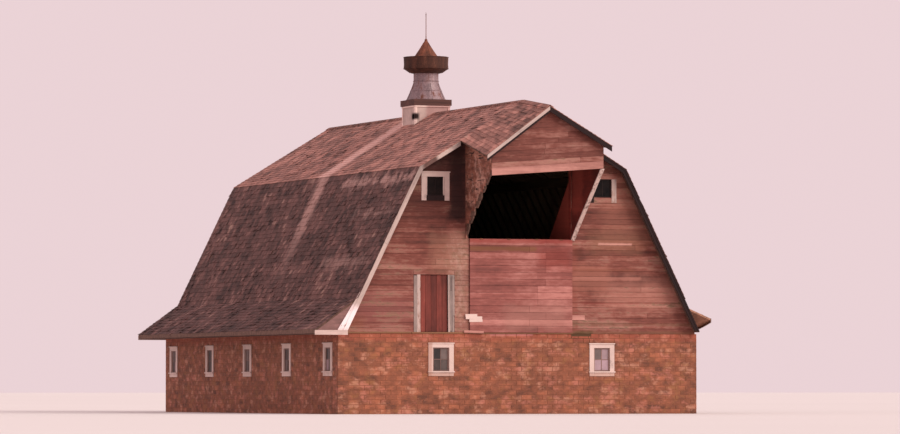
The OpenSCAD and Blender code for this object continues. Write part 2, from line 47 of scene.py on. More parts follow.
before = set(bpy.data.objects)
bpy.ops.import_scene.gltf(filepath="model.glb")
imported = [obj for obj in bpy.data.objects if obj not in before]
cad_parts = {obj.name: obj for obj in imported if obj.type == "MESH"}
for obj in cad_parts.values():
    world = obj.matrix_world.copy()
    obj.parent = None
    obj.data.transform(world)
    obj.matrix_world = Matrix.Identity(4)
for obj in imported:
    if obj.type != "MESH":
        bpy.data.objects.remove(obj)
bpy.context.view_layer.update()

LEFT = -1
RIGHT = 1
UP = Vector((0, 0, 1))
DOWN = Vector((0, 0, -1))
FORWARD = Vector((0, -1, 0))

# Sizes that come from the frame
FRONT_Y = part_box("front_tile_wall")[0].y
REAR_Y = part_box("rear_tile_wall")[1].y
HALF_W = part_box("front_tile_wall")[1].x
BASE_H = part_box("front_tile_wall")[1].z
ROOF_LOW, ROOF_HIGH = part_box("roof_left_upper")
RIDGE_Z = ROOF_HIGH.z
BREAK = (-ROOF_LOW.x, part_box("roof_left_lower")[1].z)
RAKE_FRONT = ROOF_LOW.y
RAKE_REAR = ROOF_HIGH.y
TRIM_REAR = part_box("rake_boards")[1].y
TRIM_T = TRIM_REAR - RAKE_REAR
RETURN_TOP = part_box("eave_returns")[1].z
EAVE = (-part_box("left_eave_flare")[0].x, RETURN_TOP + TRIM_T)
FLARE_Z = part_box("left_eave_flare")[1].z
BROKEN_EAVE_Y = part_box("right_eave_flare")[0].y
HAY_DOOR_LOW, HAY_DOOR_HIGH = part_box("hay_door")
LOFT_DOOR_LOW, LOFT_DOOR_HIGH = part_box("loft_door")
CURB_LOW, CURB_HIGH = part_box("cupola_curb")
SKIRT_LOW, SKIRT_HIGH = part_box("cupola_skirt")
BAND_LOW, BAND_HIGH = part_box("cupola_wind_band")
CAP_LOW, CAP_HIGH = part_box("cupola_cap")
ROD_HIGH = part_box("lightning_rod")[1]
VENT_Y = (CAP_LOW.y + CAP_HIGH.y) / 2

# Sizes that the part's source names and the frame doesn't give by itself
ROOF_T = 0.06
RAKE_W = 0.13
HAY_HALF = 1.575
HAY_TOP = 7.68
HAY_SILL = HAY_DOOR_HIGH.z
JAMB_W = 0.2
GROUND_WINDOW = (0.77, 0.95, 0.14)
LOFT_WINDOW = (0.85, 0.83, 0.15)
GROUND_WINDOW_Z = 1.08
LOFT_WINDOW_Z = 6.07
LOFT_WINDOW_X = 2.57
FRONT_WINDOWS = (-2.4, 2.54)
SIDE_WINDOWS = 5
SIDE_FIRST = 0.85
FRAME_D = 0.11
FRAME_OUT = 0.025
WAY_HALF = 1.2
LINTEL_HALF = 1.4
LINTEL_Z = 2.05
NECK_R = 0.375
NECK_Z = 9.94
BAND_CONE_H = 0.15
METAL_T = 0.012
EAVE_LIFT = 0.37
LIFT_RUN = 3.0

# The hay hood, drawn straight out from the wall and then let down towards its tip
HOOD_HALF = 1.89
HOOD_ROOT = 1.64
HOOD_TIP = 1.695
HOOD_REACH = 2.0
HOOD_END = 2.15
HOOD_BOTTOM = RIDGE_Z - 1.865
HOOD_DROP = 0.24
HOOD_LEAN = 0.08
HOOD_ROLL = math.tan(math.radians(4.5))
HOOD_FALL = math.tan(math.radians(33.5))
PANEL_T = 0.06
CHEEK_REACH = HOOD_REACH - PANEL_T
CHEEK_ROW = 0.21
CHEEK_PLANK = CHEEK_ROW / 2
CHEEK_BREAKS = (0.06, 0.19, 0.11, 0.23, 0.08, 0.17, 0.12, 0.04)

UPPER_FALL = (RIDGE_Z - BREAK[1]) / BREAK[0]
RAKE_OVER = FRONT_Y - RAKE_FRONT


def lower_x(z, depth=0.0):
    """Distance from the middle to the lower slope at a height, depth square to its surface."""
    run = HALF_W - BREAK[0]
    rise = BREAK[1] - BASE_H
    return HALF_W - (z - BASE_H) * run / rise - depth * math.hypot(run, rise) / rise


FLARE_ROOT = (lower_x(FLARE_Z), FLARE_Z)
RIDGE = (0.0, RIDGE_Z)


# Settings


def linear(*rgb):
    """A colour given as it looks on a screen, 0 to 255, in the values that a shader uses."""
    return tuple(pow(c / 255, 2.2) for c in rgb)


def length(name, description, default):
    """A setting in metres."""
    return bpy.props.FloatProperty(
        name=name, description=description, default=default, min=0.0, precision=4, unit="LENGTH"
    )


def share(name, description, default):
    """A setting from 0 to 1."""
    return bpy.props.FloatProperty(
        name=name, description=description, default=default, min=0.0, max=1.0, subtype="FACTOR"
    )


def colour(name, description, *rgb):
    """A setting for a colour, given from 0 to 255."""
    return bpy.props.FloatVectorProperty(
        name=name, description=description, default=linear(*rgb), min=0.0, max=1.0, size=3,
        subtype="COLOR",
    )


class BarnRoof(bpy.types.PropertyGroup):
    """Shingles of the roof."""

    exposure: length("Exposure", "Height of each course that shows", 0.147)
    shingle: length("Shingle length", "Length of a shingle, most of it covered", 0.31)
    narrowest: length("Narrowest", "Width of the narrowest shingle", 0.09)
    widest: length("Widest", "Width of the widest shingle", 0.25)
    missing: share("Missing", "Share of the lower slopes' shingles that have gone", 0.022)
    curled: share("Curled", "Share of the lower slopes' shingles that have curled", 0.14)
    upper: colour("Upper slopes", "Sun-bleached reddish shingles", 150, 106, 95)
    lower: colour("Lower slopes", "Dark grey-brown shingles", 94, 66, 61)
    fresh: colour("Fresh wood", "Wood laid bare where a shingle has gone", 166, 132, 118)


class BarnSiding(bpy.types.PropertyGroup):
    """Boards of the gables, the doors and the hood."""

    exposure: length("Exposure", "Height of each board that shows", 0.15)
    thickness: length("Thickness", "Thickness of a board at its lower edge", 0.022)
    shortest: length("Shortest", "Length of the shortest board", 1.8)
    longest: length("Longest", "Length of the longest board", 4.9)
    paint: colour("Paint", "Old red paint", 130, 74, 63)
    chalk: colour("Chalked paint", "Red paint faded to pink", 190, 138, 124)
    bare: colour("Bare wood", "Wood where the paint has gone", 128, 97, 78)
    hay_door: colour("Hay door", "Faded pinkish red of the hay door", 150, 88, 80)
    loft_door: colour("Loft door", "Dark red of the loft door", 112, 54, 46)


class BarnMasonry(bpy.types.PropertyGroup):
    """Clay tiles of the ground storey."""

    tile: length("Tile length", "Length of a tile's face", 0.305)
    joint: length("Joint", "Width of the mortar joints", 0.013)
    courses: bpy.props.IntProperty(
        name="Courses", description="Courses of tiles in the ground storey", default=17, min=4
    )
    proud: length("Tile face", "How far a tile's face stands out from the mortar", 0.007)
    clay: colour("Clay", "Fired clay", 135, 80, 57)
    mortar: colour("Mortar", "Mortar stained by the clay", 154, 98, 74)


class BarnTrim(bpy.types.PropertyGroup):
    """White-painted trim, bare boards and windows."""

    paint: colour("White paint", "Old white paint", 214, 190, 180)
    under: colour("Under the paint", "Grey wood under the white paint", 140, 116, 106)
    weathered: colour("Weathered boards", "Boards with no paint left", 112, 84, 72)
    timber: colour("Framing", "Rough-sawn framing", 108, 84, 64)
    bar: length("Glazing bar", "Width of a glazing bar", 0.022)
    sash: length("Sash", "Width of the sash round the glass", 0.035)


class BarnMetal(bpy.types.PropertyGroup):
    """Sheet metal of the ventilator."""

    zinc: colour("Galvanised", "Dull galvanised sheet", 138, 116, 118)
    rust: colour("Rust", "Rust on bare sheet", 104, 62, 46)
    seams: bpy.props.IntProperty(
        name="Seams", description="Standing seams round the skirt and cap", default=8, min=3
    )


class BarnStage(bpy.types.PropertyGroup):
    """Floor, light and camera."""

    floor: colour("Floor", "Plain pale floor", 226, 220, 216)
    sky: colour("Backdrop", "Plain pale light from all round", 248, 222, 226)
    sun: bpy.props.FloatProperty(name="Key light", description="Strength of the key light",
                                 default=2.4, min=0.0)
    fill: bpy.props.FloatProperty(name="Fill light", description="Strength of the soft fill",
                                  default=0.88, min=0.0)
    lens: bpy.props.FloatProperty(name="Lens", description="Focal length on a 36 mm frame",
                                  default=205.0, min=20.0, unit="CAMERA")


GROUPS = {
    "barn_roof": BarnRoof,
    "barn_siding": BarnSiding,
    "barn_masonry": BarnMasonry,
    "barn_trim": BarnTrim,
    "barn_metal": BarnMetal,
    "barn_stage": BarnStage,
}


# Stains, and painted light and shade


def wash_row(rgb, strength, soft, *edge, **ranges):
    """A row of a table of washes: its colour from 0 to 255, its strength, the width of its soft
    edge in metres, how ragged that edge is and its noise cells per metre where they aren't the
    usual, and the ranges of x, y or z that it lies in. Some rows are stains, some painted light
    and shade."""
    return (linear(*rgb), strength, ranges, soft, *edge)


AT_FRONT = (FRONT_Y - 0.2, FRONT_Y + 0.2)
AT_CASINGS = (FRONT_Y - 0.1, FRONT_Y + 0.2)
AT_CHEEKS = {"y": (FRONT_Y - 2.2, FRONT_Y + 0.1), "z": (4.8, 7.7)}
AT_CURB_CORNER = (CURB_LOW.y - 0.15, CURB_LOW.y + 0.34)

GABLE_WASHES = (
    wash_row((166, 114, 100), 0.75, 0.25, x=(-2.3, -1.4), z=(2.3, 5.35)),
    wash_row((160, 114, 94), 0.45, 0.3, 2.4, x=(-2.9, -1.5), z=(3.8, 5.3)),
    wash_row((134, 92, 70), 0.55, 0.5, x=(1.9, 4.1), z=(4.35, 5.5)),
    wash_row((138, 74, 62), 0.6, 0.12, x=(1.5, 1.84), z=(2.3, 4.95)),
    wash_row((134, 80, 74), 0.75, 0.6, x=(-5.6, -3.0), z=(2.3, 3.7)),
    wash_row((140, 84, 62), 0.5, 0.3, x=(-5.6, -4.6), z=(2.2, 2.9)),
    wash_row((112, 50, 42), 0.6, 0.1, x=(-4.9, -3.2), z=(3.7, 3.85)),
    wash_row((120, 54, 46), 0.6, 0.1, x=(-4.4, -3.1), z=(3.2, 3.32)),
    wash_row((166, 110, 92), 0.35, 0.6, x=(2.2, 5.2), z=(4.6, 7.2)),
    wash_row((188, 130, 114), 0.45, 0.6, x=(2.2, 5.4), z=(2.7, 4.2)),
    wash_row((108, 70, 52), 0.75, 0.1, x=(1.5, 5.4), z=(2.48, 2.64)),
    wash_row((128, 90, 66), 0.6, 0.1, x=(1.5, 5.4), z=(2.2, 2.42)),
    wash_row((94, 70, 42), 0.9, 0.1, x=(1.6, 2.3), z=(2.2, 2.42)),
    wash_row((164, 104, 88), 0.8, 0.3, x=(1.4, 2.9), z=(3.4, 4.4)),
    wash_row((118, 48, 40), 0.65, 0.06, x=(1.6, 5.2), z=(3.13, 3.23)),
    wash_row((192, 130, 114), 0.5, 0.08, x=(1.6, 3.8), z=(3.8, 3.98)),
    wash_row((122, 70, 52), 0.55, 0.08, x=(1.6, 3.6), z=(4.05, 4.2)),
    wash_row((208, 152, 138), 0.8, 0.05, x=(2.4, 3.5), z=(4.82, 4.93)),
    wash_row((96, 50, 36), 0.6, 0.12, x=(1.6, 2.0), z=(4.45, 4.8)),
)
# The first two rows are painted shade: the shadow that the hood casts on the gable beside its left
# cheek, and the shade under the left rake. The last two are stains.
GABLE_GRIME_AND_SHADE = (
    wash_row((44, 18, 17), 0.88, 0.3, x=(-2.3, -1.5), z=(5.3, 8.4)),
    wash_row((54, 24, 22), 0.7, 0.35, x=(-4.4, -2.0), z=(6.75, 9.0)),
    wash_row((132, 106, 82), 0.7, 0.9, 2.5, 5.0, x=(-2.3, -1.4), z=(2.3, 5.2)),
    wash_row((206, 166, 152), 0.5, 1.0, 2.5, 7.5, x=(-2.3, -1.4), z=(2.3, 5.2)),
)
HAY_DOOR_WASHES = (
    wash_row((134, 90, 60), 0.75, 0.08, x=(-1.7, 0.55), z=(4.62, 4.82)),
    wash_row((150, 58, 50), 0.6, 0.08, x=(-1.7, 1.7), z=(4.84, 5.1)),
    wash_row((138, 56, 46), 0.55, 0.3, x=(0.4, 1.7), z=(4.1, 4.9)),
    wash_row((176, 124, 112), 0.55, 0.4, x=(-0.7, 1.7), z=(2.2, 3.3)),
)
CHEEK_WASHES = (
    wash_row((46, 16, 14), 0.85, 2.2, 3.0, (1.0, 3.4, 3.4), **AT_CHEEKS),
    wash_row((226, 176, 156), 0.75, 2.2, 3.0, (1.0, 5.2, 5.2), **AT_CHEEKS),
)
# Painted light and shade on the lining of the right cheek: lighter red where light falls in, inside
# and near the wall, and darker towards the hood's tip.
LINING_LIGHT_AND_SHADE = (
    wash_row((190, 84, 68), 0.85, 0.15, y=(FRONT_Y + 0.1, FRONT_Y + 2.5)),
    wash_row((206, 92, 76), 0.45, 0.3, y=(FRONT_Y - 0.9, FRONT_Y + 0.1), z=(5.6, 7.7)),
    wash_row((84, 24, 12), 0.6, 0.3, y=(FRONT_Y - 2.0, FRONT_Y - 1.25)),
)
LOWER_SLOPE_WASHES = (
    wash_row((190, 150, 140), 0.8, 0.3, 3.2, y=(FRONT_Y - 0.3, FRONT_Y + 6.0), z=(6.5, 6.95)),
    wash_row((166, 130, 120), 0.6, 0.35, 3.2, y=(FRONT_Y, FRONT_Y + 4.5), z=(4.1, 4.6)),
    wash_row((176, 140, 130), 0.55, 0.35, 3.6, y=(FRONT_Y, FRONT_Y + 3.5), z=(5.6, 5.9)),
)
# A pinker wash over the right part of the curb, and painted shade: a near-black patch for the dark
# inside of the hole at its corner.
CURB_PINK_AND_HOLE_SHADE = (
    wash_row((190, 144, 138), 0.75, 0.15, x=(-0.25, 0.7), z=(8.0, 9.4)),
    wash_row((34, 10, 8), 1.0, 0.09, 0.3, x=(-0.68, -0.38), y=AT_CURB_CORNER, z=(8.73, 9.01)),
)
CASING_WASHES = (
    wash_row((178, 134, 116), 0.65, 0.06, x=(-2.95, -2.64), y=AT_CASINGS, z=(0.9, 2.2)),
    wash_row((178, 134, 116), 0.55, 0.06, x=(-3.0, 3.2), y=AT_CASINGS, z=(0.8, 1.2)),
)
RAKE_WASHES = (
    wash_row((255, 236, 236), 0.95, 0.4, x=(-6.6, -4.6), z=(2.2, 3.2)),
    wash_row((96, 62, 54), 0.85, 0.12, x=(-3.1, -2.55), z=(6.9, 7.4)),
    wash_row((228, 204, 192), 0.7, 0.1, x=(-2.7, -2.1), z=(7.2, 7.6)),
)
CLAY_STAINS = (
    wash_row((206, 140, 138), 0.7, 0.06, x=(-0.95, 0.45), y=AT_FRONT, z=(2.2, 2.5)),
    wash_row((164, 74, 56), 0.4, 0.15, z=(2.02, 2.4)),
    wash_row((92, 70, 52), 0.6, 0.35, z=(-1.0, 0.12)),
)
# Painted shade on the mortar where tiles of the top course have gone.
MORTAR_HOLE_SHADE = (wash_row((84, 62, 42), 1.0, 0.05, x=(1.5, 2.3), y=AT_FRONT, z=(2.0, 2.4)),)

# Mottling of the clay: where its noise starts, its colour and its strength
CLAY_MOTTLES = (
    (8.0, (206, 148, 122), 0.5),
    (15.0, (148, 98, 60), 0.55),
    (18.0, (198, 124, 106), 0.5),
)


# Materials


def shade(rgb, factor):
    """A darker or lighter version of a colour."""
    return tuple(min(1.0, c * factor) for c in rgb)


def along(grain, slow, fast):
    """Noise cells per metre: few along the grain and many across it."""
    return tuple(slow if axis in grain else fast for axis in "xyz")


NOISE_ROUGHNESS = 0.6


class Finish:
    """Builds one node material, read in object coordinates and from each copy's tint."""

    def __init__(self, name, roughness):
        self.material = bpy.data.materials.new(name)
        self.material.use_nodes = True
        self.tree = self.material.node_tree
        self.shader = self.tree.nodes["Principled BSDF"]
        self.shader.inputs["Roughness"].default_value = roughness
        self.place = self.node("ShaderNodeTexCoord").outputs["Object"]
        self.axes = self.node("ShaderNodeSeparateXYZ", inputs={0: self.place}).outputs
        self.tint = self.node("ShaderNodeAttribute", {"attribute_name": "tint"}).outputs["Fac"]

    def feed(self, socket, value):
        """Link a socket to another one, or give it a value."""
        if isinstance(value, bpy.types.NodeSocket):
            self.tree.links.new(value, socket)
        elif socket.type == "RGBA":
            socket.default_value = (*value, 1.0)
        else:
            socket.default_value = value

    def node(self, kind, settings=None, inputs=None):
        """Add a node with its settings and what feeds its inputs."""
        made = self.tree.nodes.new(kind)
        for key, value in (settings or {}).items():
            setattr(made, key, value)
        for key, value in (inputs or {}).items():
            self.feed(made.inputs[key], value)
        return made

    def math(self, operation, first, second=0.0):
        """One step of arithmetic on two values."""
        return self.node("ShaderNodeMath", {"operation": operation},
                         {0: first, 1: second}).outputs[0]

    def total(self, *parts):
        """The sum of values, each times its weight."""
        result = 0.0
        for value, weight in parts:
            result = self.node("ShaderNodeMath", {"operation": "MULTIPLY_ADD"},
                               {0: value, 1: weight, 2: result}).outputs[0]
        return result

    def noise(self, cells, detail=4.0, turn=0.0, start=0.0):
        """Noise with so many cells per metre, one count or one for each axis, turned about Y."""
        counts = cells if isinstance(cells, tuple) else (cells,) * 3
        mapping = self.node("ShaderNodeMapping", {"vector_type": "TEXTURE"}, {
            "Vector": self.place, "Scale": [1.0 / count for count in counts],
            "Location": (start,) * 3, "Rotation": (0.0, turn, 0.0)})
        return self.node("ShaderNodeTexNoise", inputs={
            "Vector": mapping.outputs[0], "Scale": 1.0, "Detail": detail,
            "Roughness": NOISE_ROUGHNESS}).outputs[0]

    def step(self, value, low, high):
        """0 at low, 1 at high and smooth between them."""
        return self.node("ShaderNodeMapRange", {"interpolation_type": "SMOOTHSTEP"},
                         {"Value": value, "From Min": low, "From Max": high}).outputs[0]

    def mix(self, factor, first, second, kind="MIX"):
        """Blend two colours."""
        return self.node("ShaderNodeMix", {"data_type": "RGBA", "blend_type": kind},
                         {0: factor, 6: first, 7: second}).outputs[2]

    def ramp(self, value, *stops):
        """Colours at stops along a value that runs from 0 to 2."""
        made = self.node("ShaderNodeValToRGB", inputs={0: self.math("MULTIPLY", value, 0.5)})
        elements = made.color_ramp.elements
        while len(elements) < len(stops):
            elements.new(0.5)
        for element, (position, rgb) in zip(elements, stops):
            element.position = position / 2
            element.color = (*rgb, 1.0)
        return made.outputs[0]

    def region(self, ranges, soft, ragged, cells):
        """1 inside ranges of x, y or z and 0 outside them, with a ragged edge soft metres wide."""
        inside = None
        for axis, (low, high) in ranges.items():
            off = self.math("SUBTRACT", self.axes["xyz".index(axis)], (low + high) / 2)
            left = self.math("SUBTRACT", (high - low) / 2, self.math("ABSOLUTE", off))
            inside = left if inside is None else self.node(
                "ShaderNodeMath", {"operation": "SMOOTH_MIN"},
                {0: inside, 1: left, 2: soft}).outputs[0]
        edge = self.total((inside, 1.0 / soft), (self.noise(cells, 5.0), ragged))
        return self.step(edge, ragged / 2, ragged / 2 + 1.0)

    def wash(self, base, rgb, strength, ranges, soft, ragged=1.4, cells=2.5):
        """Lay a wash of one colour over a region, for a mark on the surface or for painted light
        and shade.
        """
        mask = self.math("MULTIPLY", self.region(ranges, soft, ragged, cells), strength)
        return self.mix(mask, base, rgb)

    def washed_over(self, rgb, wash_rows):
        """A colour with a table of washes laid over it, one after another; some tables hold painted
        light and shade.
        """
        for row in wash_rows:
            rgb = self.wash(rgb, *row)
        return rgb

    def finish(self, rgb, height=None, depth=0.002, roughness=None):
        """Join the colour, the relief and the roughness to the shader."""
        self.feed(self.shader.inputs["Base Color"], rgb)
        if roughness is not None:
            self.feed(self.shader.inputs["Roughness"], roughness)
        if height is not None:
            bump = self.node("ShaderNodeBump", inputs={"Height": height, "Distance": depth})
            self.feed(self.shader.inputs["Normal"], bump.outputs[0])
        return self.material


def old_paint(name, chalk, paint, bare, grain, wear, turn=0.0, washes=(), grime_and_shade=(), deep=0.55):
    """Paint on boards that has chalked, streaked and come away along the grain. The washes lie on
    the paint alone and the grime_and_shade rows, dirt and painted shade, on the bare wood as well."""
    made = Finish(name, 0.88)
    streak = made.noise(along(grain, 0.35, 6.0), 5.0, turn)
    fibre = made.noise(along(grain, 1.6, 85.0), 6.0, turn, 3.0)
    cloud = made.noise(along(grain, 0.7, 1.5), 5.0, turn, 11.0)
    flake = made.noise(along(grain, 5.0, 16.0), 6.0, turn, 7.0)
    tone = made.total((made.tint, 0.24), (streak, 0.6), (cloud, 0.75), (flake, 0.4))
    coat = made.ramp(tone, (0.76, shade(paint, deep)), (0.99, paint), (1.28, chalk))
    coat = made.washed_over(coat, washes)
    worn_and_shaded = made.total((fibre, 0.35), (streak, 0.4), (cloud, 0.45), (flake, 0.5), (made.tint, 0.12))
    mask = made.step(worn_and_shaded, wear, wear + 0.13)
    wood = made.ramp(fibre, (0.3, shade(bare, 0.5)), (0.52, bare), (0.75, shade(bare, 1.45)))
    rgb = made.washed_over(made.mix(mask, coat, wood), grime_and_shade)
    board_light = made.ramp(made.total((made.tint, 0.5), (streak, 0.6)), (0.3, (0.72, 0.7, 0.7)),
                            (0.75, (1.0, 1.0, 1.0)))
    rgb = made.mix(1.0, rgb, board_light, "MULTIPLY")
    crack = made.math("MULTIPLY", made.step(fibre, 0.4, 0.3), 0.5)
    rgb = made.mix(crack, rgb, shade(paint, 0.25))
    relief = made.total((fibre, 0.7), (mask, -0.4), (flake, 0.2))
    return made.finish(rgb, relief, 0.003)


def bare_wood(name, base, grain, turn=0.0):
    """Unpainted boards and timbers, grey-brown along the grain."""
    made = Finish(name, 0.9)
    streak = made.noise(along(grain, 0.5, 9.0), 5.0, turn)
    fibre = made.noise(along(grain, 1.8, 80.0), 6.0, turn, 5.0)
    tone = made.total((streak, 0.7), (fibre, 0.35), (made.tint, 0.25))
    rgb = made.ramp(tone, (0.35, shade(base, 0.45)), (0.56, base), (0.82, shade(base, 1.7)))
    return made.finish(rgb, fibre, 0.003)


BLEACHED_SHINGLE = linear(218, 172, 160)


def shingle_finish(name, base, fresh, streak, washes=()):
    """Split shingles: each has its tint, grain that runs down the slope, and a bleached streak
    under the ventilator. streak is (y at the break, lean with height, half width, strength,
    height that it fades out at)."""
    made = Finish(name, 0.92)
    fibre = made.noise((2.0, 75.0, 2.0), 6.0)
    cloud = made.noise((0.4, 0.3, 0.4), 5.0, start=4.0)
    runs = made.noise((0.25, 3.2, 0.25), 4.0, start=9.0)
    mottle = made.noise((3.0, 3.6, 3.0), 5.0, start=13.0)
    blotch = made.noise((1.3, 1.1, 1.3), 3.0, start=21.0)
    tone = made.total((made.tint, 0.36), (cloud, 0.35), (runs, 0.2), (mottle, 0.75),
                      (blotch, 0.7), (fibre, 0.12))
    rgb = made.ramp(tone, (0.99, shade(base, 0.38)), (1.23, base), (1.41, shade(base, 1.7)),
                    (1.6, fresh))
    middle, lean, half, strength, fade = streak
    off = made.math("SUBTRACT", made.total((made.axes[1], 1.0), (made.axes[2], -lean)),
                    middle - lean * BREAK[1])
    inside = made.total((made.math("ABSOLUTE", off), -1.0),
                        (made.noise((0.9, 3.0, 0.9), 4.0), 0.4), (mottle, 0.5))
    bleached = made.math("MULTIPLY", made.step(inside, 0.2 - half, 0.75 - half), strength)
    bleached = made.math("MULTIPLY", bleached, made.step(made.axes[2], fade, fade + 2.6))
    rgb = made.washed_over(made.mix(bleached, rgb, BLEACHED_SHINGLE), washes)
    split = made.math("MULTIPLY", made.step(fibre, 0.4, 0.3), 0.55)
    rgb = made.mix(split, rgb, shade(base, 0.2))
    return made.finish(rgb, fibre, 0.004)


def clay_finish(clay):
    """Fired clay from orange to brown, mottled with olive and pink, darker and browner at its foot.
    """
    made = Finish("Clay tile", 0.78)
    pits = made.noise(40.0, 6.0)
    cloud = made.noise(0.55, 4.0, start=2.0)
    patch = made.noise((4.0, 4.0, 6.0), 5.0, start=6.0)
    tone = made.total((made.tint, 0.4), (cloud, 0.35), (patch, 0.9), (pits, 0.12))
    rgb = made.ramp(tone, (0.7, shade(clay, 0.48)), (0.84, shade(clay, 0.8)), (0.96, clay),
                    (1.12, shade(clay, 1.5)))
    for start, mottle, strength in CLAY_MOTTLES:
        mask = made.step(made.noise((2.6, 2.6, 3.8), 6.0, start=start), 0.53, 0.68)
        rgb = made.mix(made.math("MULTIPLY", mask, strength), rgb, linear(*mottle))
    rgb = made.washed_over(rgb, CLAY_STAINS)
    return made.finish(rgb, made.total((pits, 0.6), (patch, 0.5)), 0.003)


def mortar_finish(mortar):
    """Lime mortar behind the tiles, with painted shade where the top course has broken."""
    made = Finish("Mortar", 0.95)
    sand = made.noise(120.0, 3.0)
    cloud = made.noise(1.2, 5.0)
    tone = made.total((sand, 0.35), (cloud, 0.65))
    rgb = made.ramp(tone, (0.35, shade(mortar, 0.6)), (0.62, mortar), (0.8, shade(mortar, 1.25)))
    return made.finish(made.washed_over(rgb, MORTAR_HOLE_SHADE), sand, 0.002)


def concrete_finish():
    """Worn concrete of the floor slab and the lintel."""
    made = Finish("Concrete", 0.92)
    sand = made.noise(90.0, 4.0)
    cloud = made.noise(0.9, 6.0)
    rgb = made.ramp(made.total((cloud, 0.75), (sand, 0.25)), (0.35, linear(86, 80, 74)),
                    (0.6, linear(140, 132, 122)), (0.8, linear(168, 160, 148)))
    return made.finish(rgb, made.total((sand, 0.5), (cloud, 0.5)), 0.003)


def glass_finish(name, ior):
    """Old window glass over a dark room: each pane has its own coat of dust. The dark end is
    painted shade of the unlit room behind the glass, the pale end dust and painted reflection of
    the sky.
    """
    made = Finish(name, 0.12)
    dust = made.noise(5.0, 6.0)
    dust_and_reflection = made.total((made.tint, 1.0), (dust, 0.25))
    rgb = made.ramp(dust_and_reflection, (0.15, linear(16, 14, 16)), (0.45, linear(52, 40, 36)),
                    (0.75, linear(112, 96, 92)), (1.0, linear(176, 148, 156)))
    made.shader.inputs["IOR"].default_value = ior
    return made.finish(rgb, dust, 0.0006, made.step(dust_and_reflection, -0.6, 1.6))


def zinc_finish(zinc, rust):
    """Galvanised sheet with spangle, dull streaks and rust that runs from its seams."""
    made = Finish("Galvanised sheet", 0.5)
    made.shader.inputs["Metallic"].default_value = 0.35
    spangle = made.node("ShaderNodeTexVoronoi", inputs={"Vector": made.place, "Scale": 42.0})
    runs = made.noise((9.0, 9.0, 0.9), 5.0)
    cloud = made.noise(3.0, 5.0, start=5.0)
    tone = made.total((spangle.outputs["Distance"], 0.22), (runs, 0.5), (cloud, 0.42))
    rgb = made.ramp(tone, (0.38, shade(zinc, 0.45)), (0.58, zinc), (0.76, shade(zinc, 1.7)))
    rusted = made.total((runs, 0.7), (cloud, 0.6))
    rgb = made.mix(made.step(rusted, 0.68, 0.86), rgb, rust)
    return made.finish(rgb, cloud, 0.002, made.step(rusted, 0.1, 1.1))


def rust_finish(name, rust, scale_light=1.0):
    """Sheet that has rusted through its galvanising, with pale scale left on top."""
    made = Finish(name, 0.85)
    made.shader.inputs["Metallic"].default_value = 0.1
    grit = made.noise(45.0, 6.0)
    runs = made.noise((7.0, 7.0, 1.1), 6.0, start=2.0)
    tone = made.total((grit, 0.35), (runs, 0.55), (made.tint, 0.3))
    scale = shade(linear(176, 120, 94), scale_light)
    pale = shade(linear(190, 158, 148), scale_light)
    rgb = made.ramp(tone, (0.34, shade(rust, 0.3)), (0.52, rust), (0.68, scale), (0.85, pale))
    return made.finish(rgb, made.total((grit, 0.6), (runs, 0.4)), 0.003)


MATERIALS = {}


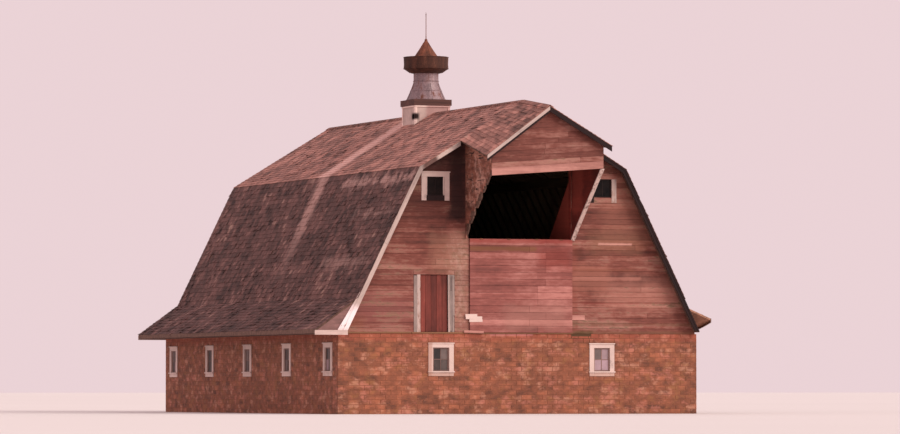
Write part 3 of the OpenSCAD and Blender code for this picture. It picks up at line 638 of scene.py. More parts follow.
def make_materials(scene):
    """Make every finish once, from the settings."""
    siding, trim, roof = scene.barn_siding, scene.barn_trim, scene.barn_roof
    paint, chalk, bare = tuple(siding.paint), tuple(siding.chalk), tuple(siding.bare)
    white, under = tuple(trim.paint), tuple(trim.under)
    # The two maroon rows are paint that has faded less under the roof, and painted shade as well:
    # the shade of the roof's edge and the shadow of the hood over the upper left of the gable.
    maroon_and_shade = shade(paint, 0.42)
    gable_washes_and_shade = (
        (maroon_and_shade, 0.62, {"x": (-5.2, 0.3), "z": (5.15, 9.6)}, 0.75),
        (maroon_and_shade, 0.4, {"x": (-4.6, 4.6), "z": (6.6, 9.0)}, 0.8),
        *GABLE_WASHES,
    )
    finishes = {
        "siding": old_paint("Red siding", chalk, paint, bare, "x", 0.95, washes=gable_washes_and_shade,
                            grime_and_shade=GABLE_GRIME_AND_SHADE, deep=0.42),
        "rear_siding": old_paint("Rear siding", chalk, paint, bare, "x", 0.95, deep=0.42),
        "hay_door": old_paint("Hay door boards", linear(196, 134, 124), tuple(siding.hay_door),
                              bare, "x", 1.12, washes=HAY_DOOR_WASHES, deep=0.6),
        "loft_door": old_paint("Loft door boards", shade(siding.loft_door, 1.6),
                               tuple(siding.loft_door), bare, "z", 1.08),
        "hood": old_paint("Hood boards", shade(chalk, 0.84), shade(paint, 0.86), bare, "x", 1.0),
        "cheek": old_paint("Cheek boards", shade(paint, 0.9), shade(paint, 0.62), bare, "y", 0.9),
        "cheek_inside": old_paint("Cheek lining", linear(186, 76, 58), linear(134, 48, 37),
                                  linear(90, 46, 34), "y", 1.05, washes=LINING_LIGHT_AND_SHADE),
        "cheek_left": old_paint("Bleached cheek boards", linear(214, 150, 126), linear(150, 92, 74),
                                linear(40, 22, 18), "y", 0.92, washes=CHEEK_WASHES, deep=0.35),
        "hood_board": old_paint("Hood board", linear(200, 144, 132), linear(170, 117, 106), bare,
                                "x", 1.15, deep=0.7),
        "rake_white": old_paint("Left rake boards", shade(white, 0.95), shade(white, 0.72), under,
                                "x", 1.0, turn=-1.05, washes=RAKE_WASHES, deep=0.6),
        "rake_hood": old_paint("Left hood rake board", shade(white, 0.9), shade(white, 0.68), under,
                               "x", 1.0, turn=-0.58, deep=0.6),
        # Painted shade: these near-black boards stand for the shade on the front right rake and
        # under the hood's left rake board.
        "rake_dark": bare_wood("Rake boards in painted shade", linear(30, 11, 10), "x", 1.0),
        "white": old_paint("White trim", shade(white, 1.12), white, under, "xyz", 1.1,
                           washes=CASING_WASHES, deep=0.6),
        "curb": old_paint("Curb paint", shade(white, 1.5), shade(white, 1.35), under, "xyz", 1.15,
                          grime_and_shade=CURB_PINK_AND_HOLE_SHADE, deep=0.7),
        "jamb": old_paint("Jamb paint", shade(white, 0.92), shade(white, 0.62), linear(136, 92, 76),
                          "z", 0.98, deep=0.6),
        "peeling": old_paint("Peeling trim", shade(white, 1.1), white, under, "z", 0.93, deep=0.6),
        "weathered": bare_wood("Weathered boards", tuple(trim.weathered), "x"),
        "vent_base": bare_wood("Ventilator base", linear(92, 62, 56), "x"),
        # Painted shade: the backing boards are near black so that the jambs of the hay opening look
        # shaded.
        "shaded_backing": bare_wood("Backing boards in painted shade", linear(40, 24, 20), "x"),
        "eave_end": old_paint("Eave ends", linear(216, 176, 170), linear(160, 120, 114),
                              linear(104, 80, 66), "x", 0.96, deep=0.6),
        "eave_return": old_paint("Eave returns", shade(white, 1.5), shade(white, 1.3), under, "x",
                                 1.12, deep=0.7),
        "sill": bare_wood("Sill boards", linear(120, 86, 62), "x"),
        "sash": bare_wood("Sashes", linear(120, 95, 88), "xyz"),
        "split_eave": bare_wood("Split eave boards", linear(168, 124, 102), "y"),
        # Painted shade: the loft windows' sashes and feet are near black so that they look part of
        # the dark opening.
        "shaded_casing": bare_wood("Casing in painted shade", linear(32, 17, 16), "x"),
        "weathered_y": bare_wood("Weathered sheathing", shade(trim.weathered, 0.8), "y"),
        "timber_x": bare_wood("Framing across", tuple(trim.timber), "x"),
        "timber_y": bare_wood("Framing along", tuple(trim.timber), "y"),
        "timber_z": bare_wood("Framing posts", tuple(trim.timber), "z"),
        "upper": shingle_finish("Upper shingles", tuple(roof.upper), shade(roof.fresh, 1.15),
                                (VENT_Y + 0.25, 0.37, 0.5, 0.9, 0.0)),
        "lower": shingle_finish("Lower shingles", tuple(roof.lower), tuple(roof.fresh),
                                (VENT_Y + 0.1, 0.05, 0.38, 0.55, 3.6), LOWER_SLOPE_WASHES),
        "clay": clay_finish(tuple(scene.barn_masonry.clay)),
        "mortar": mortar_finish(tuple(scene.barn_masonry.mortar)),
        "concrete": concrete_finish(),
        "glass": glass_finish("Window glass", 1.5),
        "dark_glass": glass_finish("Loft window glass", 1.2),
        "zinc": zinc_finish(tuple(scene.barn_metal.zinc), shade(scene.barn_metal.rust, 1.1)),
        "rust": rust_finish("Rusty cap", shade(scene.barn_metal.rust, 1.7)),
        # Painted shade: the band's rust is a darker copy of the cap's, for the shade under the cap.
        "shaded_rust": rust_finish("Rusty band in painted shade", shade(scene.barn_metal.rust, 0.62), 0.75),
    }
    MATERIALS.update(finishes)


# Shapes and heaps of shapes


class Shape:
    """A small solid in a unit box that is copied many times, stretched to a size."""

    def __init__(self, bm):
        bm.verts.layers.float.new("tint")
        self.mesh = bpy.data.meshes.new("shape")
        bm.to_mesh(self.mesh)
        bm.free()
        self.count = len(self.mesh.vertices)
        points = np.empty(self.count * 3)
        self.mesh.vertices.foreach_get("co", points)
        self.points = points.reshape(-1, 3)


def block(size, ease, top=1.0):
    """A block whose outer face, +Z, has edges eased for a size and is thinner towards its top."""
    bm = bmesh.new()
    bmesh.ops.create_cube(bm, size=1.0)
    bmesh.ops.scale(bm, vec=size, verts=bm.verts)
    rim = [edge for edge in bm.edges if all(vert.co.z > 0 for vert in edge.verts)]
    bmesh.ops.bevel(bm, geom=rim, offset=ease, offset_type="OFFSET", affect="EDGES",
                    segments=1, profile=0.5, material=-1)
    bmesh.ops.scale(bm, vec=[1.0 / side for side in size], verts=bm.verts)
    for vert in bm.verts:
        if vert.co.z > 0 and vert.co.y > 0:
            vert.co.z = (vert.co.z + 0.5) * top - 0.5
    return Shape(bm)


def shingle_shape(curl=0.0, cup=0.0, cuts=0):
    """A shingle from its butt at Y 0 to its thin end at Y 1. Its butt can curl up and cup."""
    bm = bmesh.new()
    bmesh.ops.create_cube(bm, size=1.0)
    bmesh.ops.translate(bm, vec=(0.0, 0.5, 0.5), verts=bm.verts)
    if cuts:
        long_edges = [e for e in bm.edges if abs(e.verts[0].co.y - e.verts[1].co.y) > 0.5]
        bmesh.ops.subdivide_edges(bm, edges=long_edges, cuts=cuts, use_grid_fill=True)
    for vert in bm.verts:
        x, y, z = vert.co
        bent = max(0.0, 0.55 - y) / 0.55
        vert.co.z = z * (1.0 - 0.7 * y) + (curl + cup * x) * bent * bent
    return Shape(bm)


def join(target, source):
    """Move a bmesh into another one."""
    mesh = bpy.data.meshes.new("part")
    source.to_mesh(mesh)
    source.free()
    target.from_mesh(mesh)
    bpy.data.meshes.remove(mesh)


class Heap:
    """Copies of small shapes gathered in one mesh."""

    def __init__(self, seed):
        self.random = random.Random(seed)
        self.bm = bmesh.new()
        self.bm.verts.layers.float.new("tint")

    def add(self, shape, size, place, tint):
        """Set a copy of a shape, stretched to size, in the space of a matrix."""
        matrix = np.array(place)
        points = (shape.points * size) @ matrix[:3, :3].T + matrix[:3, 3]
        shape.mesh.vertices.foreach_set("co", points.ravel())
        shape.mesh.attributes["tint"].data.foreach_set("value", [tint] * shape.count)
        self.bm.from_mesh(shape.mesh)

    def nail(self, shape, wall, spot, size, tint):
        """Set a copy of a shape on a wall at a spot (x, z, out), which may end with a turn."""
        self.add(shape, size, wall.place(*spot), tint)

    def spread(self, middle, spread):
        """A random tint round a middle one."""
        return min(1.0, max(0.0, self.random.gauss(middle, spread)))

    def saw(self, point, outward):
        """Saw off what lies beyond a plane and close the sawn ends."""
        geom = self.bm.verts[:] + self.bm.edges[:] + self.bm.faces[:]
        cut = bmesh.ops.bisect_plane(self.bm, geom=geom, dist=1e-6, plane_co=point,
                                     plane_no=outward, clear_outer=True)
        edges = [item for item in cut["geom_cut"] if isinstance(item, bmesh.types.BMEdge)]
        if edges:
            bmesh.ops.edgenet_fill(self.bm, edges=edges)
            bmesh.ops.recalc_face_normals(self.bm, faces=self.bm.faces)

    def piece(self, name, finish, slot, *nodes):
        """Turn the heap into a piece of the model."""
        make_piece(name, self.bm, finish, slot, *nodes)


def make_piece(name, bm, finish, slot, *nodes, smooth=None):
    """Turn a bmesh into a piece of the model that rides on the barn and may stand for nodes."""
    mesh = bpy.data.meshes.new(name)
    bm.to_mesh(mesh)
    bm.free()
    if not mesh.polygons:
        raise RuntimeError(name + " has no faces")
    if smooth is not None:
        mesh.shade_smooth()
        mesh.set_sharp_from_angle(angle=math.radians(smooth))
    mesh.materials.append(MATERIALS[finish])
    made = bpy.data.objects.new(name, mesh)
    bpy.context.scene.collection.objects.link(made)
    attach(made, "root")
    if nodes:
        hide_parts(*nodes)


def at(origin, x_way, y_way, z_way):
    """The matrix of a space with its origin and its three axes."""
    turned = Matrix((x_way, y_way, z_way)).transposed().to_4x4()
    return Matrix.Translation(origin) @ turned


class Wall:
    """A wall seen from outside: X along it, Y up it and Z out of it."""

    def __init__(self, origin, x_way):
        self.origin = Vector(origin)
        self.out = Vector(x_way).cross(UP)
        self.space = at(self.origin, Vector(x_way), UP, self.out)

    def place(self, x, z, out, turn=0.0):
        """The space of a thing on the wall, turned about the way out of it."""
        return self.space @ Matrix.Translation((x, z, out)) @ Matrix.Rotation(turn, 4, "Z")


FRONT = Wall((0, FRONT_Y, 0), (1, 0, 0))
REAR = Wall((0, REAR_Y, 0), (-1, 0, 0))
LEFT_SIDE = Wall((-HALF_W, 0, 0), (0, -1, 0))
RIGHT_SIDE = Wall((HALF_W, 0, 0), (0, 1, 0))


class Slope:
    """A flat part of the roof from its foot to its top, given as (x, z) on the right."""

    def __init__(self, side, foot, top):
        self.foot = Vector((side * foot[0], 0, foot[1]))
        way = Vector((side * top[0], 0, top[1])) - self.foot
        self.length = way.length
        self.up = way.normalized()
        self.out = side * Vector((self.up.z, 0, -self.up.x))

    def place(self, distance, y, height, turn=0.0, tilt=0.0):
        """Where a shingle lies: X along the barn, Y up the slope and Z out of it."""
        point = self.foot + self.up * distance + self.out * height
        point.y = y
        return (at(point, self.up.cross(self.out), self.up, self.out)
                @ Matrix.Rotation(turn, 4, "Z") @ Matrix.Rotation(tilt, 4, "X"))

    def rake(self, spot, out):
        """Where a rake board lies: X up the slope and Z out of the gable."""
        return at(spot, self.up, out.cross(self.up), out)


SMALLEST_PART = 0.012


def left_of(parts, hole):
    """What is left of rectangles (x0, x1, z0, z1) once a rectangular hole is cut in them."""
    left = []
    for x0, x1, z0, z1 in parts:
        if hole[0] >= x1 or hole[1] <= x0 or hole[2] >= z1 or hole[3] <= z0:
            left.append((x0, x1, z0, z1))
            continue
        middle = (max(x0, hole[0]), min(x1, hole[1]))
        left += [(x0, hole[0], z0, z1), (hole[1], x1, z0, z1),
                 (*middle, z0, hole[2]), (*middle, hole[3], z1)]
    return [part for part in left if min(part[1] - part[0], part[3] - part[2]) > SMALLEST_PART]


def cut_round(rectangle, holes):
    """What is left of a rectangle once every hole is cut in it."""
    parts = [rectangle]
    for hole in holes:
        parts = left_of(parts, hole)
    return parts


def window_holes(places, z, window):
    """The holes in a wall for windows with their middles at places and their feet at z."""
    return [(x - window[0] / 2, x + window[0] / 2, z, z + window[1]) for x in places]


def side_window_places():
    """The Y of each window along a side wall."""
    first = FRONT_Y + SIDE_FIRST
    run = REAR_Y - FRONT_Y - 2 * SIDE_FIRST
    return [first + run * i / (SIDE_WINDOWS - 1) for i in range(SIDE_WINDOWS)]


def let_down(distance):
    """How far the hood has sunk at a distance in front of the wall: 0 at the rake, 1 at its tip."""
    return max(0.0, (distance - RAKE_OVER) / (HOOD_END - RAKE_OVER))


def sag(bm, roof=False):
    """Let the hood down: its tip has dropped, leant over and rolled, and its roof is steeper."""
    for vert in bm.verts:
        x, y, z = vert.co
        part = let_down(FRONT_Y - y)
        if roof:
            z -= abs(x) * (HOOD_FALL - UPPER_FALL) * part
        vert.co = (x + HOOD_LEAN * part, y, z + part * (x * HOOD_ROLL - HOOD_DROP))


# Masonry


TILE_H = 0.127
TILE_T = 0.03
TILE_EASE = 0.005
TILE_WAVER = 0.0015
SMALLEST_TILE = 0.02
BURNT_SHARE = 0.03
BROKEN_COURSE = (1.6, 2.2, BASE_H - 0.07, BASE_H)


def lay_tiles(heap, wall, start, end, holes, settings):
    """Tiles in running bond on one wall, cut round its openings."""
    tile = block((settings.tile, TILE_H, TILE_T), TILE_EASE)
    course = BASE_H / settings.courses
    pitch = settings.tile + settings.joint
    for row in range(settings.courses):
        x = start - (pitch / 2 if row % 2 else 0.0)
        while x < end:
            face = (max(x, start), min(x + pitch, end), row * course, (row + 1) * course)
            tint = heap.spread(0.55, 0.14)
            if heap.random.random() < BURNT_SHARE:
                tint = heap.spread(0.2, 0.06)
            for x0, x1, z0, z1 in cut_round(face, holes):
                w, h = x1 - x0 - settings.joint, z1 - z0 - settings.joint
                if min(w, h) < SMALLEST_TILE:
                    continue
                out = settings.proud - TILE_T / 2 + heap.random.uniform(-TILE_WAVER, TILE_WAVER)
                spot = ((x0 + x1) / 2, (z0 + z1) / 2, out, heap.random.gauss(0, 0.002))
                heap.nail(tile, wall, spot, (w, h, TILE_T), tint)
            x += pitch


class BARN_OT_masonry(bpy.types.Operator):
    """Lay the clay tiles of the four walls"""

    bl_idname = "barn.masonry"
    bl_label = "Clay-tile walls"

    def execute(self, context):
        settings = context.scene.barn_masonry

        def windows(places):
            return window_holes(places, GROUND_WINDOW_Z, GROUND_WINDOW)

        doorway = [(-WAY_HALF, WAY_HALF, 0.0, LINTEL_Z),
                   (-LINTEL_HALF, LINTEL_HALF, LINTEL_Z, BASE_H)]
        ends = windows(FRONT_WINDOWS)
        side = side_window_places()
        left, right = windows(-y for y in side), windows(side)
        edge = HALF_W + settings.proud
        inset = TILE_T - settings.proud
        walls = (
            ("front_tiles", FRONT, -edge, edge, ends + [BROKEN_COURSE], 11),
            ("rear_tiles", REAR, -edge, edge, ends + doorway, 12),
            ("left_tiles", LEFT_SIDE, inset - REAR_Y, -FRONT_Y - inset, left, 13),
            ("right_tiles", RIGHT_SIDE, FRONT_Y + inset, REAR_Y - inset, right, 14),
        )
        for name, wall, start, stop, holes, seed in walls:
            heap = Heap(seed)
            lay_tiles(heap, wall, start, stop, holes, settings)
            heap.piece(name, "clay", "clay_tile")
        return {"FINISHED"}


# Roof


SHINGLE_T = 0.012
SHINGLE_GAP = 0.005
SHINGLE_LIFT = 0.013
FIRST_LIFT = 0.009
LEAST_SHINGLE = 0.05
SLIPPED_SHARE = 0.012
SLIP = 0.05
PALE_SHARE = 0.025
SHINGLES_OVER = 0.02


def shingle_shapes():
    """The kinds of shingle: sound, curled up at the butt, and curled with one corner higher."""
    return {
        "flat": shingle_shape(),
        "curled": shingle_shape(curl=1.7, cuts=2),
        "cupped": shingle_shape(curl=0.8, cup=1.8, cuts=2),
    }


def lay_shingles(heap, slope, rows, span, settings, old, tints, shapes):
    """Courses of shingles on a slope. rows gives each butt's distance up the slope, span gives
    the two ends of a course, and old is how worn the slope is, from 0 to 1."""
    for number, butt in enumerate(rows):
        y, stop = span(butt)
        while y < stop:
            width = min(heap.random.uniform(settings.narrowest, settings.widest), stop - y)
            if stop - y - width < LEAST_SHINGLE:
                width = stop - y
            middle = y + width / 2
            y += width
            gone = number > 0 and heap.random.random() < settings.missing * old
            slip = heap.random.gauss(0, 0.004 + 0.006 * old)
            if heap.random.random() < SLIPPED_SHARE * old:
                slip -= SLIP
            kind = "flat"
            if heap.random.random() < settings.curled * old:
                kind = heap.random.choice(("curled", "cupped"))
            tint = heap.spread(*tints)
            if heap.random.random() < PALE_SHARE * old:
                tint = heap.random.uniform(0.8, 1.0)
            if gone:
                continue
            start = butt + slip
            reach = min(settings.shingle, slope.length - start - 0.004)
            lift = SHINGLE_LIFT if number else FIRST_LIFT
            place = slope.place(start, middle, lift, heap.random.gauss(0, 0.006 + 0.012 * old),
                                -lift / settings.shingle)
            heap.add(shapes[kind], (width - SHINGLE_GAP, reach, SHINGLE_T), place, tint)


def course_starts(first, last, exposure):
    """The distance up the slope of each course's butts."""
    return [first + exposure * i for i in range(int((last - first) / exposure) + 1)]


class BARN_OT_shingles(bpy.types.Operator):
    """Shingle the two slopes of the roof, its kicked-out eaves and the hood"""

    bl_idname = "barn.shingles"
    bl_label = "Shingles"

    def execute(self, context):
        settings = context.scene.barn_roof
        shapes = shingle_shapes()
        over_front = RAKE_FRONT - TRIM_T - SHINGLES_OVER
        hood_front = FRONT_Y - HOOD_END - TRIM_T + 0.002
        hood_edge = (BREAK[0] - HOOD_HALF - 0.03) * math.hypot(1, UPPER_FALL)
        exposure = (hood_edge + SHINGLES_OVER) / round(hood_edge / settings.exposure)

        def upper_span(butt):
            return (hood_front if butt > hood_edge - 0.01 else over_front, TRIM_REAR)

        def main_span(butt):
            return (over_front, TRIM_REAR)

        for side, name in ((LEFT, "left"), (RIGHT, "right")):
            upper = Heap(20 + side)
            slope = Slope(side, BREAK, RIDGE)
            rows = course_starts(-SHINGLES_OVER, slope.length - 0.1, exposure)
            lay_shingles(upper, slope, rows, upper_span, settings, 0.25, (0.5, 0.17), shapes)
            sag(upper.bm, roof=True)
            upper.piece(name + "_upper_shingles", "upper", "upper_shingles")

            lower = Heap(25 + side)
            slope = Slope(side, FLARE_ROOT, BREAK)
            rows = course_starts(0.0, slope.length - 0.08, settings.exposure)
            lay_shingles(lower, slope, rows, main_span, settings, 1.0, (0.46, 0.2), shapes)
            lower.piece(name + "_lower_shingles", "lower", "lower_shingles")

        left, right = Heap(31), Heap(32)
        slope = Slope(LEFT, EAVE, FLARE_ROOT)
        rows = course_starts(-0.024, slope.length - 0.06, settings.exposure)
        lay_shingles(left, slope, rows, main_span, settings, 0.9, (0.45, 0.2), shapes)
        left.piece("left_eave_shingles", "lower", "lower_shingles")

        def broken_span(butt):
            return (BROKEN_EAVE_Y + abs(right.random.gauss(0.03, 0.09)), TRIM_REAR)

        slope = Slope(RIGHT, EAVE, FLARE_ROOT)
        lay_shingles(right, slope, rows, broken_span, settings, 1.0, (0.5, 0.2), shapes)
        for vert in right.bm.verts:
            bent = max(0.0, 1.0 - (vert.co.y - BROKEN_EAVE_Y) / LIFT_RUN)
            out = (vert.co.x - FLARE_ROOT[0]) / (EAVE[0] - FLARE_ROOT[0])
            vert.co.z += EAVE_LIFT * min(1.0, bent) ** 2 * max(0.0, out)
        right.piece("right_eave_shingles", "lower", "lower_shingles")
        return {"FINISHED"}


RIDGE_CAP = (0.3, 0.13, 0.014)
RIDGE_CAP_STEP = 0.17
RIDGE_CAP_DOWN = 0.062
RIDGE_CAP_LIFT = 0.036
CURB_CLEARANCE = 0.02


class BARN_OT_ridge(bpy.types.Operator):
    """Cap the ridge with pairs of narrow shingles, out to the tip of the hood"""

    bl_idname = "barn.ridge"
    bl_label = "Ridge caps"

    def execute(self, context):
        heap = Heap(41)
        cap = block((0.13, 0.3, 0.012), 0.002)
        half = RIDGE_CAP[0] / 2
        y = RAKE_REAR
        front = FRONT_Y - HOOD_END - TRIM_T
        while y > front + half:
            clear = y < CURB_LOW.y - CURB_CLEARANCE or y - 2 * half > CURB_HIGH.y + CURB_CLEARANCE
            for side in (LEFT, RIGHT):
                slope = Slope(side, BREAK, RIDGE)
                tint = heap.spread(0.42, 0.2)
                turn = heap.random.gauss(0, 0.02)
                if clear:
                    place = slope.place(slope.length - RIDGE_CAP_DOWN,
                                        max(y, front + half + 0.01) - half,
                                        RIDGE_CAP_LIFT + 0.002 * side, turn)
                    heap.add(cap, RIDGE_CAP, place, tint)
            y -= RIDGE_CAP_STEP
        sag(heap.bm, roof=True)
        heap.piece("ridge_caps", "upper", "upper_shingles")
        return {"FINISHED"}


# Boards


SHORTEST_END = 0.5
BUTT_GAP = 0.004
LAP_GAP = 0.002


def lay_boards(heap, wall, shape, row, holes, settings, tint, lengths=None):
    """Boards end to end along one row (x0, x1, z0, z1), cut round the holes."""
    shortest, longest = lengths or (settings.shortest, settings.longest)
    thick = settings.thickness
    for x0, x1, z0, z1 in cut_round(row, holes):
        x = x0
        while x < x1 - 0.01:
            run = heap.random.uniform(shortest, longest)
            if x1 - x - run < SHORTEST_END:
                run = x1 - x
            board_tint = min(1.3, max(0.0, heap.random.gauss(tint, 0.14)))
            spot = (x + run / 2, (z0 + z1) / 2, thick / 2, heap.random.gauss(0, 0.0012))
            heap.nail(shape, wall, spot, (run - BUTT_GAP, z1 - z0 - LAP_GAP, thick), board_tint)
            x += run


def side_gable(heap, wall, holes, settings):
    """Lap siding over a gable, sawn to the line of the roof."""
    board = block((3.0, settings.exposure, settings.thickness), 0.004, 0.5)
    rise = RIDGE_Z - BASE_H
    tone = 0.5
    for row in range(int(rise / settings.exposure) + 1):
        z = BASE_H + row * settings.exposure
        if row % heap.random.choice((1, 2, 3)) == 0:
            tone = heap.random.uniform(0.25, 0.8)
        reach = min(lower_x(z), (RIDGE_Z - z) / UPPER_FALL) + 0.05
        row_box = (-reach, reach, z, z + settings.exposure)
        lay_boards(heap, wall, board, row_box, holes, settings, tone)
    for side in (LEFT, RIGHT):
        for foot, top in (((HALF_W, BASE_H), BREAK), (BREAK, RIDGE)):
            slope = Slope(side, foot, top)
            point = slope.foot - slope.out * (ROOF_T + 0.001)
            point.y = wall.origin.y
            heap.saw(point, slope.out)


class BARN_OT_siding(bpy.types.Operator):
    """Board the two gables with lap siding, cut round their openings and sawn to the roof"""

    bl_idname = "barn.siding"
    bl_label = "Gable siding"

    def execute(self, context):
        settings = context.scene.barn_siding
        windows = window_holes((-LOFT_WINDOW_X, LOFT_WINDOW_X), LOFT_WINDOW_Z, LOFT_WINDOW)
        doors = [
            (-HAY_HALF, HAY_HALF, HAY_SILL, HAY_TOP),
            (HAY_DOOR_LOW.x, HAY_DOOR_HIGH.x, BASE_H, HAY_SILL),
            (LOFT_DOOR_LOW.x - JAMB_W, LOFT_DOOR_HIGH.x + JAMB_W, BASE_H, LOFT_DOOR_HIGH.z),
        ]
        front = Heap(51)
        side_gable(front, FRONT, windows + doors, settings)
        front.piece("front_siding", "siding", "red_siding")
        rear = Heap(52)
        side_gable(rear, REAR, windows, settings)
        rear.piece("rear_siding", "rear_siding", "red_siding")
        return {"FINISHED"}


# Ends of the sill board's lengths on each gable, and how much they are turned
FRONT_SILLS = ((-5.38, -3.3), (-3.29, -1.56), (-1.55, 1.62))
REAR_SILLS = ((-5.38, -1.8), (-1.79, 1.9), (1.91, 5.38))
SILL_TURN = 0.0015


class BARN_OT_sill_board(bpy.types.Operator):
    """Set the thin sill board between the masonry and the siding"""

    bl_idname = "barn.sill_board"
    bl_label = "Sill boards"

    def execute(self, context):
        strip = block((2.0, 0.05, 0.035), 0.005)
        heap = Heap(55)
        for wall, runs in ((FRONT, FRONT_SILLS), (REAR, REAR_SILLS)):
            for low, high in runs:
                turn = heap.random.gauss(0, SILL_TURN) if wall is FRONT else 0.0
                heap.nail(strip, wall, ((low + high) / 2, BASE_H + 0.008, 0.017, turn),
                          (high - low, 0.045, 0.036), heap.random.uniform(0.2, 0.6))
        heap.piece("sill_boards", "sill", "weathered_wood")
        return {"FINISHED"}


HAY_DOOR_ROWS = 14
HAY_DOOR_BATTENS = 6
HAY_DOOR_JOINTS = (0.58, 0.66, 0.74)

# Patches on the front: their middle (x, z), width, height and how far out they lie
PALE_PATCHES = (
    (-1.5, 2.81, 0.36, 0.07, 0.067),
    (-1.42, 2.74, 0.5, 0.08, 0.069),
    (-1.36, 2.66, 0.4, 0.08, 0.067),
)
DULL_PATCHES = (
    (-1.42, 2.34, 0.6, 0.07, 0.067),
    (1.8, 2.76, 0.4, 0.14, 0.03),
)


class BARN_OT_hay_door(bpy.types.Operator):
    """Build the lowered hay door from two leaves of boards, with its hinges at the sill"""

    bl_idname = "barn.hay_door"
    bl_label = "Hay door"

    def execute(self, context):
        low, high = HAY_DOOR_LOW, HAY_DOOR_HIGH
        wide, tall = high.x - low.x, high.z - low.z
        step = tall / HAY_DOOR_ROWS
        thick = 0.032
        board = block((1.5, step, thick), 0.005)
        heap = Heap(61)
        for row in range(HAY_DOOR_ROWS):
            z = low.z + (row + 0.5) * step
            joint = low.x + heap.random.choice(HAY_DOOR_JOINTS) * wide
            for x0, x1 in ((low.x, joint), (joint, high.x)):
                tint = heap.random.choice((0.3, 0.45, 0.6, 0.75, 0.9)) + heap.random.gauss(0, 0.05)
                spot = ((x0 + x1) / 2, z, 0.044, heap.random.gauss(0, 0.001))
                heap.nail(board, FRONT, spot, (x1 - x0 - 0.002, step - 0.005, thick), tint)
        for i in range(HAY_DOOR_BATTENS):
            x = low.x + 0.12 + (wide - 0.24) * i / (HAY_DOOR_BATTENS - 1)
            heap.nail(board, FRONT, (x, (low.z + high.z) / 2, 0.014),
                      (0.14, tall - 0.02, 0.026), 0.4)
        heap.piece("hay_door_boards", "hay_door", "hay_door_red", "hay_door")

        for name, seed, finish, slot, patches in (
                ("patch_boards", 62, "white", "white_trim", PALE_PATCHES),
                ("dull_patch_boards", 64, "hood_board", "weathered_wood", DULL_PATCHES)):
            heap = Heap(seed)
            for x, z, w, h, out in patches:
                spot = (x, z, out, heap.random.gauss(0, 0.02))
                heap.nail(board, FRONT, spot, (w, h, 0.014), 0.9)
            heap.piece(name, finish, slot)

        iron = Heap(63)
        for x in (low.x + 0.35, -0.35, 0.5, high.x - 0.35):
            iron.nail(board, FRONT, (x, high.z - 0.012, 0.06), (0.1, 0.034, 0.02), 0.1)
        iron.piece("hay_door_hinges", "rust", "rusty_metal")
        return {"FINISHED"}


LOFT_DOOR_BOARDS = 5
LOFT_BOARD_T = 0.026

# Strips of the ragged jamb: how far they are from its middle, the shares of its height that they
# start and stop at, and their tint
RAGGED_STRIPS = (
    (-0.075, 0.0, 1.0, 0.9),
    (-0.02, 0.04, 0.72, 0.5),
    (0.07, 0.3, 0.94, 0.35),
    (0.025, 0.0, 0.97, 0.15),
)


class BARN_OT_loft_door(bpy.types.Operator):
    """Build the loft door from upright boards, with a sound jamb and a ragged one"""

    bl_idname = "barn.loft_door"
    bl_label = "Loft door"

    def execute(self, context):
        low, high = LOFT_DOOR_LOW, LOFT_DOOR_HIGH
        face = FRONT_Y - low.y
        wide, tall = high.x - low.x, high.z - low.z
        board = block((0.16, 1.6, LOFT_BOARD_T), 0.004)
        step = wide / LOFT_DOOR_BOARDS
        heap = Heap(71)
        for i in range(LOFT_DOOR_BOARDS):
            spot = (low.x + step * (i + 0.5), (low.z + high.z) / 2, face - LOFT_BOARD_T / 2,
                    heap.random.gauss(0, 0.002))
            heap.nail(board, FRONT, spot, (step - 0.006, tall - 0.01, LOFT_BOARD_T),
                      heap.spread(0.45, 0.25))
        for z in (low.z + 0.25, high.z - 0.25):
            heap.nail(board, FRONT, ((low.x + high.x) / 2, z, face - 0.033),
                      (wide - 0.02, 0.12, 0.013), 0.4)
        heap.piece("loft_door_boards", "loft_door", "door_red", "loft_door")

        jambs = Heap(72)
        tall = high.z - BASE_H
        middle = BASE_H + tall / 2
        left_x, right_x = low.x - JAMB_W / 2, high.x + JAMB_W / 2
        jambs.nail(board, FRONT, (left_x + 0.05, middle, 0.015), (0.1, tall, 0.03), 0.95)
        jambs.nail(board, FRONT, (left_x - 0.05, middle, 0.012), (0.096, tall - 0.05, 0.024), 0.05)
        jambs.nail(board, FRONT, (right_x, middle, 0.006), (JAMB_W - 0.01, tall, 0.012), 0.3)
        for shift, start, stop, tint in RAGGED_STRIPS:
            z = BASE_H + tall * (start + stop) / 2
            spot = (right_x + shift, z, 0.014, jambs.random.gauss(0, 0.006))
            size = (0.05, tall * (stop - start), 0.026 + 0.004 * tint)
            jambs.nail(board, FRONT, spot, size, tint)
        jambs.piece("loft_door_trim", "jamb", "white_trim", "loft_door_jambs")
        return {"FINISHED"}


# Windows


SASH_T = 0.035
SASH_BACK = -0.03
UPRIGHT_T = 0.02
LEVEL_T = 0.018
PANE_T = 0.004
PANE_TILT = 0.006


